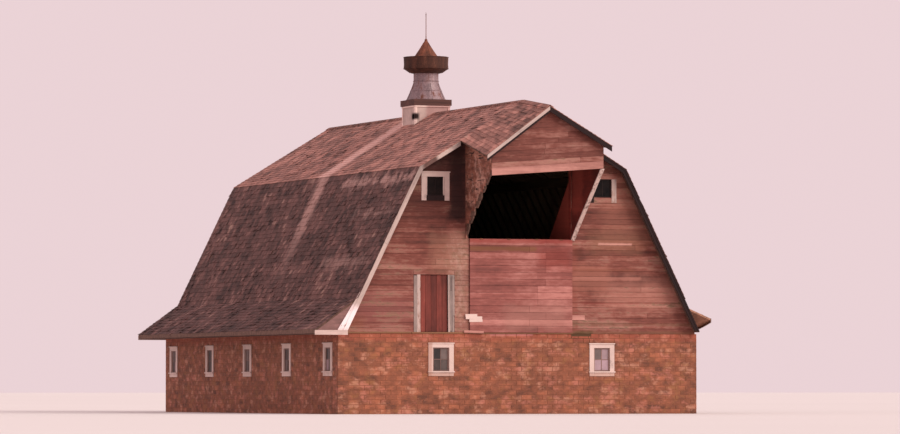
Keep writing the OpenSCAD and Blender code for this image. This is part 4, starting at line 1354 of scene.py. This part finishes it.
def fit_window(heaps, pane_heap, wall, x, z, window, bars, panes):
    """One window: casing, sill, sash, glazing bars and panes. heaps gives the heap that each
    member goes to, bars is (upright, level) and panes gives how pale each pane is, from the
    painted shade of the dark room up to dust and painted reflection of the sky."""
    w, h, face = window
    settings = bpy.context.scene.barn_trim
    sash, bar = settings.sash, settings.bar
    board = block((0.14, 0.9, FRAME_D), 0.004)
    middle = FRAME_OUT - FRAME_D / 2
    centre = z + h / 2
    glass_w, glass_h = w - 2 * face, h - 2 * face
    inner_w, inner_h = glass_w - 2 * sash, glass_h - 2 * sash
    left, foot = x - inner_w / 2, centre - inner_h / 2
    pane_w, pane_h = inner_w / (bars[0] + 1), inner_h / (bars[1] + 1)
    casing_tint = pane_heap.spread(0.7, 0.15)

    def nail(member, across, up, out, size, tint=casing_tint):
        heaps[member].nail(board, wall, (across, up, out), size, tint)

    for side, name in ((LEFT, "left"), (RIGHT, "right")):
        nail(name, x + side * (w - face) / 2, z + (h - face) / 2, middle, (face, h - face, FRAME_D))
        nail("stiles", x + side * (glass_w - sash) / 2, centre, SASH_BACK, (sash, glass_h, SASH_T))
        nail("rails", x, centre + side * (glass_h - sash) / 2, SASH_BACK,
             (inner_w, sash, SASH_T), 0.3)
    nail("head", x, z + h - face / 2, middle, (w, face, FRAME_D))
    nail("head", x, z + h - 0.015, FRAME_OUT, (w + 0.03, 0.03, 0.045))
    nail("foot", x, z + face / 2, middle, (glass_w, face, FRAME_D - 0.004))
    if "sill" in heaps:
        nail("sill", x, z + face - 0.0175, middle + 0.02, (w + 0.04, 0.035, FRAME_D + 0.03))
    for i in range(bars[0]):
        nail("rails", left + pane_w * (i + 1), centre, SASH_BACK, (bar, inner_h, UPRIGHT_T), 0.2)
    for j in range(bars[1]):
        nail("rails", x, foot + pane_h * (j + 1), SASH_BACK, (inner_w, bar, LEVEL_T), 0.2)
    for number, dust_and_reflection in enumerate(panes):
        if dust_and_reflection is None:
            continue
        row, column = divmod(number, bars[0] + 1)
        place = (wall.place(left + pane_w * (column + 0.5), foot + pane_h * (row + 0.5), SASH_BACK)
                 @ Matrix.Rotation(pane_heap.random.gauss(0, PANE_TILT), 4, "X")
                 @ Matrix.Rotation(pane_heap.random.gauss(0, PANE_TILT), 4, "Y"))
        pane_heap.add(board, (pane_w, pane_h, PANE_T), place,
                      dust_and_reflection + pane_heap.random.uniform(-0.06, 0.06))


# How pale each pane is, with None where a pane has gone: 0 is clear glass in the painted shade
# of the dark room behind and 1 a full coat of dust and painted reflection of the sky.
BROWN_PANES = (0.3, 0.45, 0.12, 0.52)
PALE_PANES = (0.85, 0.8, 0.6, 0.78)
REAR_PANES = (0.3, 0.6, None, 0.4)
LOFT_PANES = (0.06, 0.1)
SIDE_DUST_AND_REFLECTION = (0.1, 0.25, 0.4, 0.6, 0.8, None)


class BARN_OT_windows(bpy.types.Operator):
    """Fit the windows of the ground storey and the loft"""

    bl_idname = "barn.windows"
    bl_label = "Windows"

    def execute(self, context):
        frames, sashes, panes = Heap(81), Heap(86), Heap(82)
        heaps = dict.fromkeys(("left", "right", "head", "foot", "sill"), frames)
        heaps.update(stiles=sashes, rails=sashes)

        def fit_ground(wall, x, dusts_and_reflections):
            fit_window(heaps, panes, wall, x, GROUND_WINDOW_Z, GROUND_WINDOW, (1, 1), dusts_and_reflections)

        for x, dusts_and_reflections in zip(FRONT_WINDOWS, (BROWN_PANES, PALE_PANES)):
            fit_ground(FRONT, x, dusts_and_reflections)
            fit_ground(REAR, x, REAR_PANES)
        for y in side_window_places():
            dusts_and_reflections = [panes.random.choice(SIDE_DUST_AND_REFLECTION) for _ in range(4)]
            fit_ground(LEFT_SIDE, -y, dusts_and_reflections)
            fit_ground(RIGHT_SIDE, y, dusts_and_reflections)
        frames.piece("ground_window_woodwork", "white", "white_trim", "ground_window_frames")
        sashes.piece("ground_window_sashes", "sash", "weathered_wood")
        panes.piece("ground_window_panes", "glass", "window_glass", "ground_window_glass")

        # The worn_and_shaded heap takes a near-black finish: painted shade, so that the sashes,
        # feet and some casings of the loft windows look part of the dark opening.
        frames, dull, red, worn_and_shaded, panes = Heap(83), Heap(87), Heap(88), Heap(85), Heap(84)
        sound = dict.fromkeys(("left", "right", "head", "stiles"), frames)
        sound.update(foot=worn_and_shaded, rails=worn_and_shaded)
        bare = dict.fromkeys(("left", "stiles", "rails"), worn_and_shaded)
        bare.update(right=dull, head=red, foot=red)
        for wall, x, heaps in ((FRONT, -LOFT_WINDOW_X, sound), (FRONT, LOFT_WINDOW_X, bare),
                               (REAR, -LOFT_WINDOW_X, sound), (REAR, LOFT_WINDOW_X, sound)):
            fit_window(heaps, panes, wall, x, LOFT_WINDOW_Z, LOFT_WINDOW, (1, 0), LOFT_PANES)
        worn_and_shaded.piece("shaded_window_casing", "shaded_casing", "weathered_wood")
        dull.piece("dull_window_casing", "jamb", "white_trim")
        red.piece("red_window_casing", "rear_siding", "red_siding")
        frames.piece("loft_window_woodwork", "white", "white_trim", "loft_window_frames")
        panes.piece("loft_window_panes", "dark_glass", "window_glass", "loft_window_glass")
        return {"FINISHED"}


# Trim of the roof


# The rake board and its moulding: how far the middle is below the roof's face, width, thickness
# and how far it stands out at the front
RAKE_MEMBERS = (
    (RAKE_W / 2 + 0.012, RAKE_W - 0.024, TRIM_T, 0.0),
    (0.024, 0.046, 0.022, 0.013),
)
RAKE_LENGTHS = (2.6, 3.9)
RAKE_PAST = 0.35
TAPER = (1.5, 0.16, TRIM_T - 0.006)


def rake_run(heap, wall, side, points, seed, tints):
    """Boards along the edge of the roof, through points (x, z), mitred where it turns, cut level
    at the foot and upright at the top."""
    board = block((3.0, RAKE_W, TRIM_T), 0.004)
    y = RAKE_FRONT - TRIM_T / 2 if wall is FRONT else RAKE_REAR + TRIM_T / 2
    slopes = [Slope(side, foot, top) for foot, top in zip(points, points[1:])]
    for number, slope in enumerate(slopes):
        part = Heap(seed + number)
        start = -RAKE_PAST
        while start < slope.length + RAKE_PAST:
            run = min(part.random.uniform(*RAKE_LENGTHS), slope.length + RAKE_PAST + 0.01 - start)
            tint = part.spread(*tints)
            for depth, width, thick, proud in RAKE_MEMBERS:
                spot = slope.foot + slope.up * (start + run / 2) - slope.out * depth
                spot.y = y - proud if wall is FRONT else y
                turn = Matrix.Rotation(part.random.gauss(0, 0.001), 4, "Z")
                place = slope.rake(spot, wall.out) @ turn
                part.add(board, (run - BUTT_GAP, width, thick), place, tint)
            start += run
        below = -(slopes[number - 1].up + slope.up) if number else DOWN
        last = number == len(slopes) - 1
        above = Vector((-side, 0, 0)) if last else slope.up + slopes[number + 1].up
        part.saw(slope.foot, below)
        part.saw(slope.foot + slope.up * slope.length, above)
        join(heap.bm, part.bm)


def widen_foot(heap, foot):
    """A tapered board outside the foot of the left rake board."""
    bm = bmesh.new()
    bmesh.ops.create_cube(bm, size=1.0)
    for vert in bm.verts:
        if vert.co.x > 0 and vert.co.y > 0:
            vert.co.y = -0.4
    slope = Slope(LEFT, foot, BREAK)
    run, width, _ = TAPER
    spot = slope.foot + slope.up * (run / 2 - 0.1) + slope.out * (width / 2 - 0.012)
    spot.y = RAKE_FRONT - TRIM_T / 2
    part = Heap(97)
    part.add(Shape(bm), TAPER, slope.rake(spot, FORWARD), 1.0)
    part.saw(slope.foot, DOWN)
    join(heap.bm, part.bm)


class BARN_OT_rake_boards(bpy.types.Operator):
    """Nail the rake boards and their mouldings along the four edges of the roof"""

    bl_idname = "barn.rake_boards"
    bl_label = "Rake boards"

    def execute(self, context):
        foot = (lower_x(RETURN_TOP), RETURN_TOP)
        hood_side = HOOD_HALF + TRIM_T
        front = (foot, BREAK, (hood_side, RIDGE_Z - hood_side * UPPER_FALL))
        left, right, rear = Heap(89), Heap(91), Heap(99)
        rake_run(left, FRONT, LEFT, front, 88, (0.85, 0.1))
        widen_foot(left, foot)
        left.piece("front_left_rake_boards", "rake_white", "white_trim", "rake_boards")
        rake_run(right, FRONT, RIGHT, front, 96, (0.4, 0.2))
        # Painted shade: the front right rake boards are near black, as in the shade of the roof's
        # right edge.
        right.piece("front_right_rake_boards", "rake_dark", "weathered_wood")
        for side in (LEFT, RIGHT):
            rake_run(rear, REAR, side, (foot, BREAK, RIDGE), 102 + 4 * side, (0.6, 0.2))
        rear.piece("rear_rake_boards", "white", "white_trim")
        return {"FINISHED"}


# Hood


HOOD_BOARD_LENGTHS = (1.2, 3.0)
FOOT_BOARD = (2 * HOOD_TIP, 0.21, 0.03)
CHEEK_T = 0.018
STRIP_T = 0.028

# Rake boards of the hood: side, name, finish, slot, how far the middle is below the roof's face,
# width, how far the board is set back, which thins both of its faces, and the node it stands for
HOOD_RAKES = (
    (LEFT, "left_rake_board", "rake_hood", "white_trim", 0.045, 0.09, 0.0, "hood_rake_boards"),
    # The left shadow board paints the shadow under the hood's left rake board; the right rake board
    # is near black for painted shade.
    (LEFT, "left_under_board", "rake_dark", "weathered_wood", 0.122, 0.056, 0.003),
    (RIGHT, "right_rake_board", "rake_dark", "weathered_wood", 0.065, 0.13, 0.0),
)


def board_hood_front(settings):
    """The lap boards of the hood's front over a pale board at its foot, sawn under its roof."""
    wall = Wall((0, FRONT_Y - HOOD_REACH, 0), (1, 0, 0))
    board = block((1.6, 0.15, 0.022), 0.004, 0.5)
    foot = Heap(110)
    foot.nail(board, wall, (0, HOOD_BOTTOM + 0.095, FOOT_BOARD[2] / 2), FOOT_BOARD, 0.6)
    sag(foot.bm)
    foot.piece("hood_bottom_board", "hood_board", "red_siding")

    heap = Heap(111)
    z = HOOD_BOTTOM + 0.2
    tone = 0.95
    while z < RIDGE_Z:
        row = (-HOOD_TIP, HOOD_TIP, z, z + settings.exposure)
        lay_boards(heap, wall, board, row, [], settings, tone, HOOD_BOARD_LENGTHS)
        tone = heap.random.uniform(0.3, 0.75)
        z += settings.exposure
    fall = UPPER_FALL + (HOOD_FALL - UPPER_FALL) * let_down(HOOD_REACH)
    top = Vector((0, 0, RIDGE_Z - ROOF_T * math.hypot(1, UPPER_FALL) - 0.002))
    for side in (LEFT, RIGHT):
        heap.saw(top, Vector((side * fall, 0, 1)))
    sag(heap.bm)
    heap.piece("hood_front_boards", "hood", "red_siding")


def cheek_line(z):
    """How far in front of the wall a cheek's sloping edge is, at a height."""
    return CHEEK_REACH * (z - HAY_SILL) / (HOOD_BOTTOM - HAY_SILL)


def board_cheek(plank, side, name, finish, slot):
    """The narrow boards of one cheek. Those of the left one have broken back from its edge."""
    heap = Heap(115 + side)
    run = HOOD_TIP - HOOD_ROOT
    out = Vector((side * CHEEK_REACH, run, 0)).normalized()
    forward = Vector((side * run, -CHEEK_REACH, 0)).normalized()
    for row in range(int((RIDGE_Z - HAY_SILL) / CHEEK_PLANK)):
        z = HAY_SILL + row * CHEEK_PLANK
        end = min(cheek_line(z + CHEEK_PLANK / 2), HOOD_REACH - 0.002)
        if side == LEFT:
            index = row // 2
            loss = CHEEK_BREAKS[index] if index < len(CHEEK_BREAKS) else 0.0
            end = min(end, cheek_line(z)) - loss + heap.random.uniform(-0.03, 0.05)
            if row < 2:
                end = max(end, 0.08)
        if end < 0.05:
            continue
        middle = Vector((side * (HOOD_ROOT + CHEEK_T / 2), FRONT_Y, z + CHEEK_PLANK / 2))
        turn = Matrix.Rotation(heap.random.gauss(0, 0.004), 4, "Z")
        place = at(middle + forward * end / 2, UP.cross(out), UP, out) @ turn
        heap.add(plank, (end, CHEEK_PLANK - 0.003, CHEEK_T), place, heap.spread(0.5, 0.22))
    top_x = HOOD_TIP + 0.02
    steeper = top_x * (HOOD_FALL - UPPER_FALL) / (HOOD_END - RAKE_OVER)
    heap.saw(Vector((0, FRONT_Y, RIDGE_Z - top_x * UPPER_FALL - 0.073)), Vector((0, -steeper, 1)))
    sag(heap.bm)
    heap.piece("hood_" + name + "_cheek_boards", finish, slot)


def line_opening(plank):
    """The board that lines the right side of the hay opening."""
    heap = Heap(120)
    side = Wall((HAY_HALF, FRONT_Y, 0), (0, -1, 0))
    heap.nail(plank, side, (-0.05, (HAY_TOP + HAY_SILL) / 2, 0.004),
              (0.15, HAY_TOP - HAY_SILL - 0.01, 0.008), 0.4)
    heap.piece("hay_opening_lining", "cheek_inside", "red_siding")


def trim_cheek(strip):
    """The pale strip up the sloping edge of the right cheek."""
    heap = Heap(121)
    foot = Vector((HOOD_ROOT - 0.01, FRONT_Y - 0.02, HAY_SILL - 0.02))
    head = Vector((HOOD_TIP - 0.01, FRONT_Y - CHEEK_REACH - 0.02, HOOD_BOTTOM - 0.02))
    way = (head - foot).normalized()
    out = Vector((1, 0, 0)).cross(way).normalized()
    heap.add(strip, ((head - foot).length, 0.12, STRIP_T),
             at((foot + head) / 2 + out * STRIP_T / 2, way, out.cross(way), out), 0.85)
    long_edges = [edge for edge in heap.bm.edges if edge.calc_length() > 1]
    bmesh.ops.subdivide_edges(heap.bm, edges=long_edges, cuts=5)
    sag(heap.bm)
    heap.piece("hood_cheek_trim", "peeling", "white_trim")


def nail_hood_rake(strip, side, name, finish, slot, depth, width, back, *nodes):
    """One board along the front edge of the hood's roof."""
    heap = Heap(125 + side)
    slope = Slope(side, (HOOD_HALF, RIDGE_Z - HOOD_HALF * UPPER_FALL), RIDGE)
    y = FRONT_Y - HOOD_END - TRIM_T / 2
    spot = slope.foot + slope.up * slope.length / 2 - slope.out * depth
    spot.y = y + back
    heap.add(strip, (slope.length + 0.2, width, TRIM_T - 2 * back), slope.rake(spot, FORWARD),
             heap.spread(0.7, 0.1))
    heap.saw(Vector((0, y, 0)), Vector((-side, 0, 0)))
    heap.saw(Vector((side * HOOD_HALF, y, 0)), Vector((side, 0, 0)))
    sag(heap.bm, roof=True)
    heap.piece("hood_" + name, finish, slot, *nodes)


class BARN_OT_hood(bpy.types.Operator):
    """Board the hood's front and its two cheeks, and nail its rake boards and edge trim"""

    bl_idname = "barn.hood"
    bl_label = "Hay hood"

    def execute(self, context):
        board_hood_front(context.scene.barn_siding)
        plank = block((1.5, CHEEK_PLANK, CHEEK_T), 0.003)
        board_cheek(plank, LEFT, "left", "cheek_left", "weathered_wood")
        board_cheek(plank, RIGHT, "right", "cheek", "red_siding")
        line_opening(plank)
        strip = block((2.8, 0.11, STRIP_T), 0.004)
        trim_cheek(strip)
        for rake in HOOD_RAKES:
            nail_hood_rake(strip, *rake)
        return {"FINISHED"}


# Ventilator


SHARP_ANGLE = 35
SEAM_ROOT = 0.004
POINT_R = 0.02
BALL_R = 0.045


def flare(foot_r, top_r, low, high, steps, curve):
    """Points (radius, z) up a sheet that narrows from its foot to its top in a curve."""
    return [(top_r + (foot_r - top_r) * pow(1 - i / steps, curve), low + (high - low) * i / steps)
            for i in range(steps + 1)]


def lathe(outline, steps=64, closed=True):
    """Turn an outline of (radius, z) round the ventilator's axis, in the same order each run."""
    bm = bmesh.new()
    rings = []
    for i in range(steps):
        across, along = math.cos(math.tau * i / steps), math.sin(math.tau * i / steps)
        rings.append([bm.verts.new((radius * across, VENT_Y + radius * along, z))
                      for radius, z in outline])
    for ring, beside in zip(rings, rings[1:] + rings[:1]):
        for j in range(0 if closed else 1, len(outline)):
            bm.faces.new((ring[j - 1], ring[j], beside[j], beside[j - 1]))
    bmesh.ops.remove_doubles(bm, verts=bm.verts, dist=1e-5)
    bmesh.ops.recalc_face_normals(bm, faces=bm.faces)
    return bm


def bead(radius, z, size):
    """A rolled rim of round section."""
    around = [math.tau * i / 8 for i in range(8)]
    return lathe([(radius + size * math.cos(turn), z + size * math.sin(turn)) for turn in around])


def seams(profile, count, height, width):
    """Standing seams up a spun sheet, through points (radius, z)."""
    bm = bmesh.new()
    levels = []
    for radius, z in profile:
        inner, outer = radius - SEAM_ROOT, radius + height
        corners = ((inner, LEFT), (outer, LEFT), (outer, RIGHT), (inner, RIGHT))
        levels.append([bm.verts.new((x, VENT_Y + side * width / 2, z)) for x, side in corners])
    for lower, upper in zip(levels, levels[1:]):
        for i in range(4):
            bm.faces.new((lower[i - 1], lower[i], upper[i], upper[i - 1]))
    bm.faces.new(levels[0])
    bm.faces.new(levels[-1])
    bmesh.ops.spin(bm, geom=bm.verts[:] + bm.edges[:] + bm.faces[:], cent=(0, VENT_Y, 0),
                   axis=(0, 0, 1), angle=math.tau * (count - 1) / count, steps=count - 1,
                   use_duplicate=True)
    bmesh.ops.recalc_face_normals(bm, faces=bm.faces)
    return bm


def spun_piece(name, finish, slot, node, *parts):
    """A piece of sheet metal from its spun shell and the beads and seams on it."""
    shell = parts[0]
    for part in parts[1:]:
        join(shell, part)
    make_piece(name, shell, finish, slot, node, smooth=SHARP_ANGLE)


def spin_skirt(count):
    """The skirt that flares to the base, with its neck, beads and standing seams."""
    foot_r, low = SKIRT_HIGH.x, SKIRT_LOW.z
    skirt = flare(foot_r, NECK_R, low, NECK_Z, 10, 1.2)
    outer = skirt + [(NECK_R, SKIRT_HIGH.z)]
    inner = [(radius - METAL_T, z) for radius, z in reversed(outer)]
    waist_r, waist_z = skirt[5]
    spun_piece("ventilator_skirt", "zinc", "galvanised", "cupola_skirt", lathe(outer + inner),
               bead(foot_r - 0.012, low + 0.014, 0.012), bead(NECK_R + 0.004, NECK_Z + 0.01, 0.014),
               bead(waist_r + 0.002, waist_z, 0.009), seams(skirt[:-1], count, 0.012, 0.008))


def spin_band():
    """The wind band round the neck, closed by a cone below, and the straps that hold it."""
    band_r, low, high = BAND_HIGH.x, BAND_LOW.z, BAND_HIGH.z
    edge = low + BAND_CONE_H
    shell = [(NECK_R, low), (NECK_R + 0.13, low + 0.03), (band_r - 0.02, edge - 0.01),
             (band_r - 0.012, edge + 0.02), (band_r - 0.02, low + 0.28), (band_r - 0.01, high)]
    inside = [(radius - METAL_T, z) for radius, z in reversed(shell[2:])]
    inside += [(shell[1][0] - METAL_T, shell[1][1] + METAL_T), (NECK_R, low + METAL_T)]
    spun_piece("ventilator_wind_band", "shaded_rust", "rusty_metal", "cupola_wind_band",
               lathe(shell + inside), bead(band_r - 0.014, high - 0.012, 0.013),
               bead(band_r - 0.016, edge, 0.014))

    straps = Heap(131)
    bar = block((0.3, 0.04, 0.006), 0.001)
    for i in range(4):
        angle = math.tau * (i + 0.5) / 4
        way = Vector((math.cos(angle), math.sin(angle), 0))
        for z in (low + 0.2, high - 0.08):
            middle = Vector((0, VENT_Y, z)) + way * (NECK_R + band_r) / 2
            straps.add(bar, (band_r - NECK_R - 0.02, 0.04, 0.006),
                       at(middle, way, UP.cross(way), UP), 0.3)
    straps.piece("ventilator_straps", "rust", "rusty_metal")


def spin_cap(count):
    """The pointed cap with its standing seams and ball, and the rod on it."""
    cap_r, low, top = CAP_HIGH.x, CAP_LOW.z, CAP_HIGH.z
    cone = flare(cap_r, POINT_R, low + 0.02, top, 12, 1.1)
    outline = [(0.0, low), (cap_r - 0.02, low)] + cone + [(0.0, top)]
    turns = [math.pi * i / 10 for i in range(11)]
    ball = [(BALL_R * math.sin(turn), top - 0.03 - BALL_R * math.cos(turn)) for turn in turns]
    spun_piece("ventilator_cap", "rust", "rusty_metal", "cupola_cap", lathe(outline, closed=False),
               bead(cap_r - 0.012, low + 0.02, 0.012), seams(cone[:-2], count, 0.01, 0.007),
               lathe(ball, 24, closed=False))

    tip = ROD_HIGH.z
    rod = [(0.0, top - 0.02), (0.014, top - 0.02), (0.014, top + 0.1), (0.011, top + 0.11),
           (0.01, tip - 0.1), (0.014, tip - 0.09), (0.014, tip - 0.075), (0.009, tip - 0.065),
           (0.0, tip)]
    spun_piece("ventilator_rod", "rust", "rusty_metal", "lightning_rod",
               lathe(rod, 16, closed=False))


def trim_curb():
    """Boards up the corners of the curb and along the top of its four sides."""
    trim = Heap(133)
    half, tall = CURB_HIGH.x, CURB_HIGH.z - CURB_LOW.z
    board = block((0.09, 0.5, 0.018), 0.003)
    for way in ((1, 0, 0), (-1, 0, 0), (0, 1, 0), (0, -1, 0)):
        wall = Wall(Vector((0, VENT_Y, 0)) + Vector(way).cross(UP) * half, way)
        for end in (LEFT, RIGHT):
            spot = (end * (half - 0.03), CURB_HIGH.z - tall / 2 - 0.005, 0.008)
            trim.nail(board, wall, spot, (0.06, tall - 0.03, 0.016), trim.spread(0.8, 0.1))
        trim.nail(board, wall, (0, CURB_HIGH.z - 0.025, 0.015), (2 * half + 0.03, 0.045, 0.03),
                  trim.spread(0.7, 0.1))
    trim.piece("ventilator_curb_trim", "curb", "white_trim")


class BARN_OT_ventilator(bpy.types.Operator):
    """Build the ventilator: curb trim, seamed skirt, wind band, pointed cap and rod"""

    bl_idname = "barn.ventilator"
    bl_label = "Ventilator"

    def execute(self, context):
        count = context.scene.barn_metal.seams
        spin_skirt(count)
        spin_band()
        spin_cap(count)
        trim_curb()
        return {"FINISHED"}


# Nodes that stay


class BARN_OT_carried_nodes(bpy.types.Operator):
    """Give the nodes that are shown as they are their own finishes"""

    bl_idname = "barn.carried_nodes"
    bl_label = "Framing and walls"

    def execute(self, context):
        finishes = {
            "concrete": ("ground_floor", "rear_door_lintel"),
            "mortar": ("front_tile_wall", "rear_tile_wall", "left_tile_wall", "right_tile_wall"),
            "white": ("rear_door_frame",),
            "eave_return": ("eave_returns",),
            "curb": ("cupola_curb",),
            "weathered": ("eave_fascias",),
            "eave_end": ("eave_end_panels",),
            "vent_base": ("cupola_base",),
            "shaded_backing": ("front_gable_wall", "rear_gable_wall", "hood_front_panel"),
            "weathered_y": ("roof_left_upper", "roof_left_lower", "roof_right_upper",
                            "roof_right_lower", "left_eave_flare", "eave_soffits",
                            "hood_roof_left", "hood_roof_right", "hood_left_cheek"),
            "split_eave": ("right_eave_flare",),
            "cheek_inside": ("hood_right_cheek",),
            "timber_x": ("loft_joists", "upper_rafters"),
            "timber_y": ("loft_girders", "loft_floor", "wall_plates", "ridge_and_purlins",
                         "hood_ridge_beam"),
            "timber_z": ("loft_posts", "lower_rafters"),
        }
        for finish, names in finishes.items():
            for name in names:
                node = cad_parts[name]
                if not node.material_slots:
                    node.data.materials.append(MATERIALS[finish])
                for slot in node.material_slots:
                    slot.material = MATERIALS[finish]
        return {"FINISHED"}


# Stage


FLOOR_REACH = 900.0
SUN_FROM = Vector((0.60, -0.64, 0.46))
SUN_SPREAD = math.radians(38)
SUN_COLOUR = (1.0, 0.93, 0.86)
CAMERA_PLACE = Vector((-53.42, FRONT_Y - 136.52, 0.70))
CAMERA_TARGET = Vector((-0.62, FRONT_Y + 4.0, 5.75))
FARTHEST_SEEN = 3000.0


class BARN_OT_stage(bpy.types.Operator):
    """Lay the plain floor, set the soft light and place the camera"""

    bl_idname = "barn.stage"
    bl_label = "Stage"

    def execute(self, context):
        scene = context.scene
        settings = scene.barn_stage
        scene.view_settings.view_transform = "Standard"

        bm = bmesh.new()
        bmesh.ops.create_grid(bm, x_segments=8, y_segments=8, size=FLOOR_REACH)
        mesh = bpy.data.meshes.new("floor")
        bm.to_mesh(mesh)
        bm.free()
        finish = Finish("Studio floor", 0.9)
        tone = finish.noise(0.02, 2.0)
        rgb = finish.ramp(tone, (0.3, shade(settings.floor, 0.97)), (0.7, tuple(settings.floor)))
        mesh.materials.append(finish.finish(rgb))
        floor = bpy.data.objects.new("floor", mesh)
        scene.collection.objects.link(floor)

        world = bpy.data.worlds.new("Backdrop")
        world.use_nodes = True
        back = world.node_tree.nodes["Background"]
        back.inputs["Color"].default_value = (*settings.sky, 1.0)
        back.inputs["Strength"].default_value = settings.fill
        scene.world = world

        sun = bpy.data.lights.new("key_light", "SUN")
        sun.energy = settings.sun
        sun.angle = SUN_SPREAD
        sun.color = SUN_COLOUR
        lamp = bpy.data.objects.new("key_light", sun)
        lamp.rotation_euler = SUN_FROM.to_track_quat("Z", "Y").to_euler()
        scene.collection.objects.link(lamp)

        lens = bpy.data.cameras.new("camera")
        lens.lens = settings.lens
        lens.sensor_width = 36.0
        lens.clip_end = FARTHEST_SEEN
        camera = bpy.data.objects.new("camera", lens)
        camera.location = CAMERA_PLACE
        towards = CAMERA_TARGET - CAMERA_PLACE
        camera.rotation_euler = towards.to_track_quat("-Z", "Y").to_euler()
        scene.collection.objects.link(camera)
        scene.camera = camera
        return {"FINISHED"}


OPERATORS = (
    BARN_OT_masonry, BARN_OT_shingles, BARN_OT_ridge, BARN_OT_siding, BARN_OT_sill_board,
    BARN_OT_hay_door, BARN_OT_loft_door, BARN_OT_windows, BARN_OT_rake_boards, BARN_OT_hood,
    BARN_OT_ventilator, BARN_OT_carried_nodes, BARN_OT_stage,
)


class BARN_PT_panel(bpy.types.Panel):
    """Lists the barn's pieces and settings"""

    bl_idname = "BARN_PT_panel"
    bl_label = "Barn"
    bl_space_type = "VIEW_3D"
    bl_region_type = "UI"
    bl_category = "Barn"

    def draw(self, context):
        for name, group in GROUPS.items():
            box = self.layout.box()
            box.label(text=group.__doc__)
            for prop in group.__annotations__:
                box.prop(getattr(context.scene, name), prop)
        for operator in OPERATORS:
            self.layout.operator(operator.bl_idname)


def register():
    """Add the settings, operators and panel to Blender."""
    for cls in (*GROUPS.values(), *OPERATORS, BARN_PT_panel):
        bpy.utils.register_class(cls)
    for name, group in GROUPS.items():
        setattr(bpy.types.Scene, name, bpy.props.PointerProperty(type=group))


def unregister():
    """Take them out of Blender again."""
    for name in GROUPS:
        delattr(bpy.types.Scene, name)
    for cls in reversed((*GROUPS.values(), *OPERATORS, BARN_PT_panel)):
        bpy.utils.unregister_class(cls)


def main():
    """Build the whole barn in order."""
    register()
    make_materials(bpy.context.scene)
    for operator in OPERATORS:
        getattr(bpy.ops.barn, operator.bl_idname.split(".")[1])()


if __name__ == "__main__":
    main()
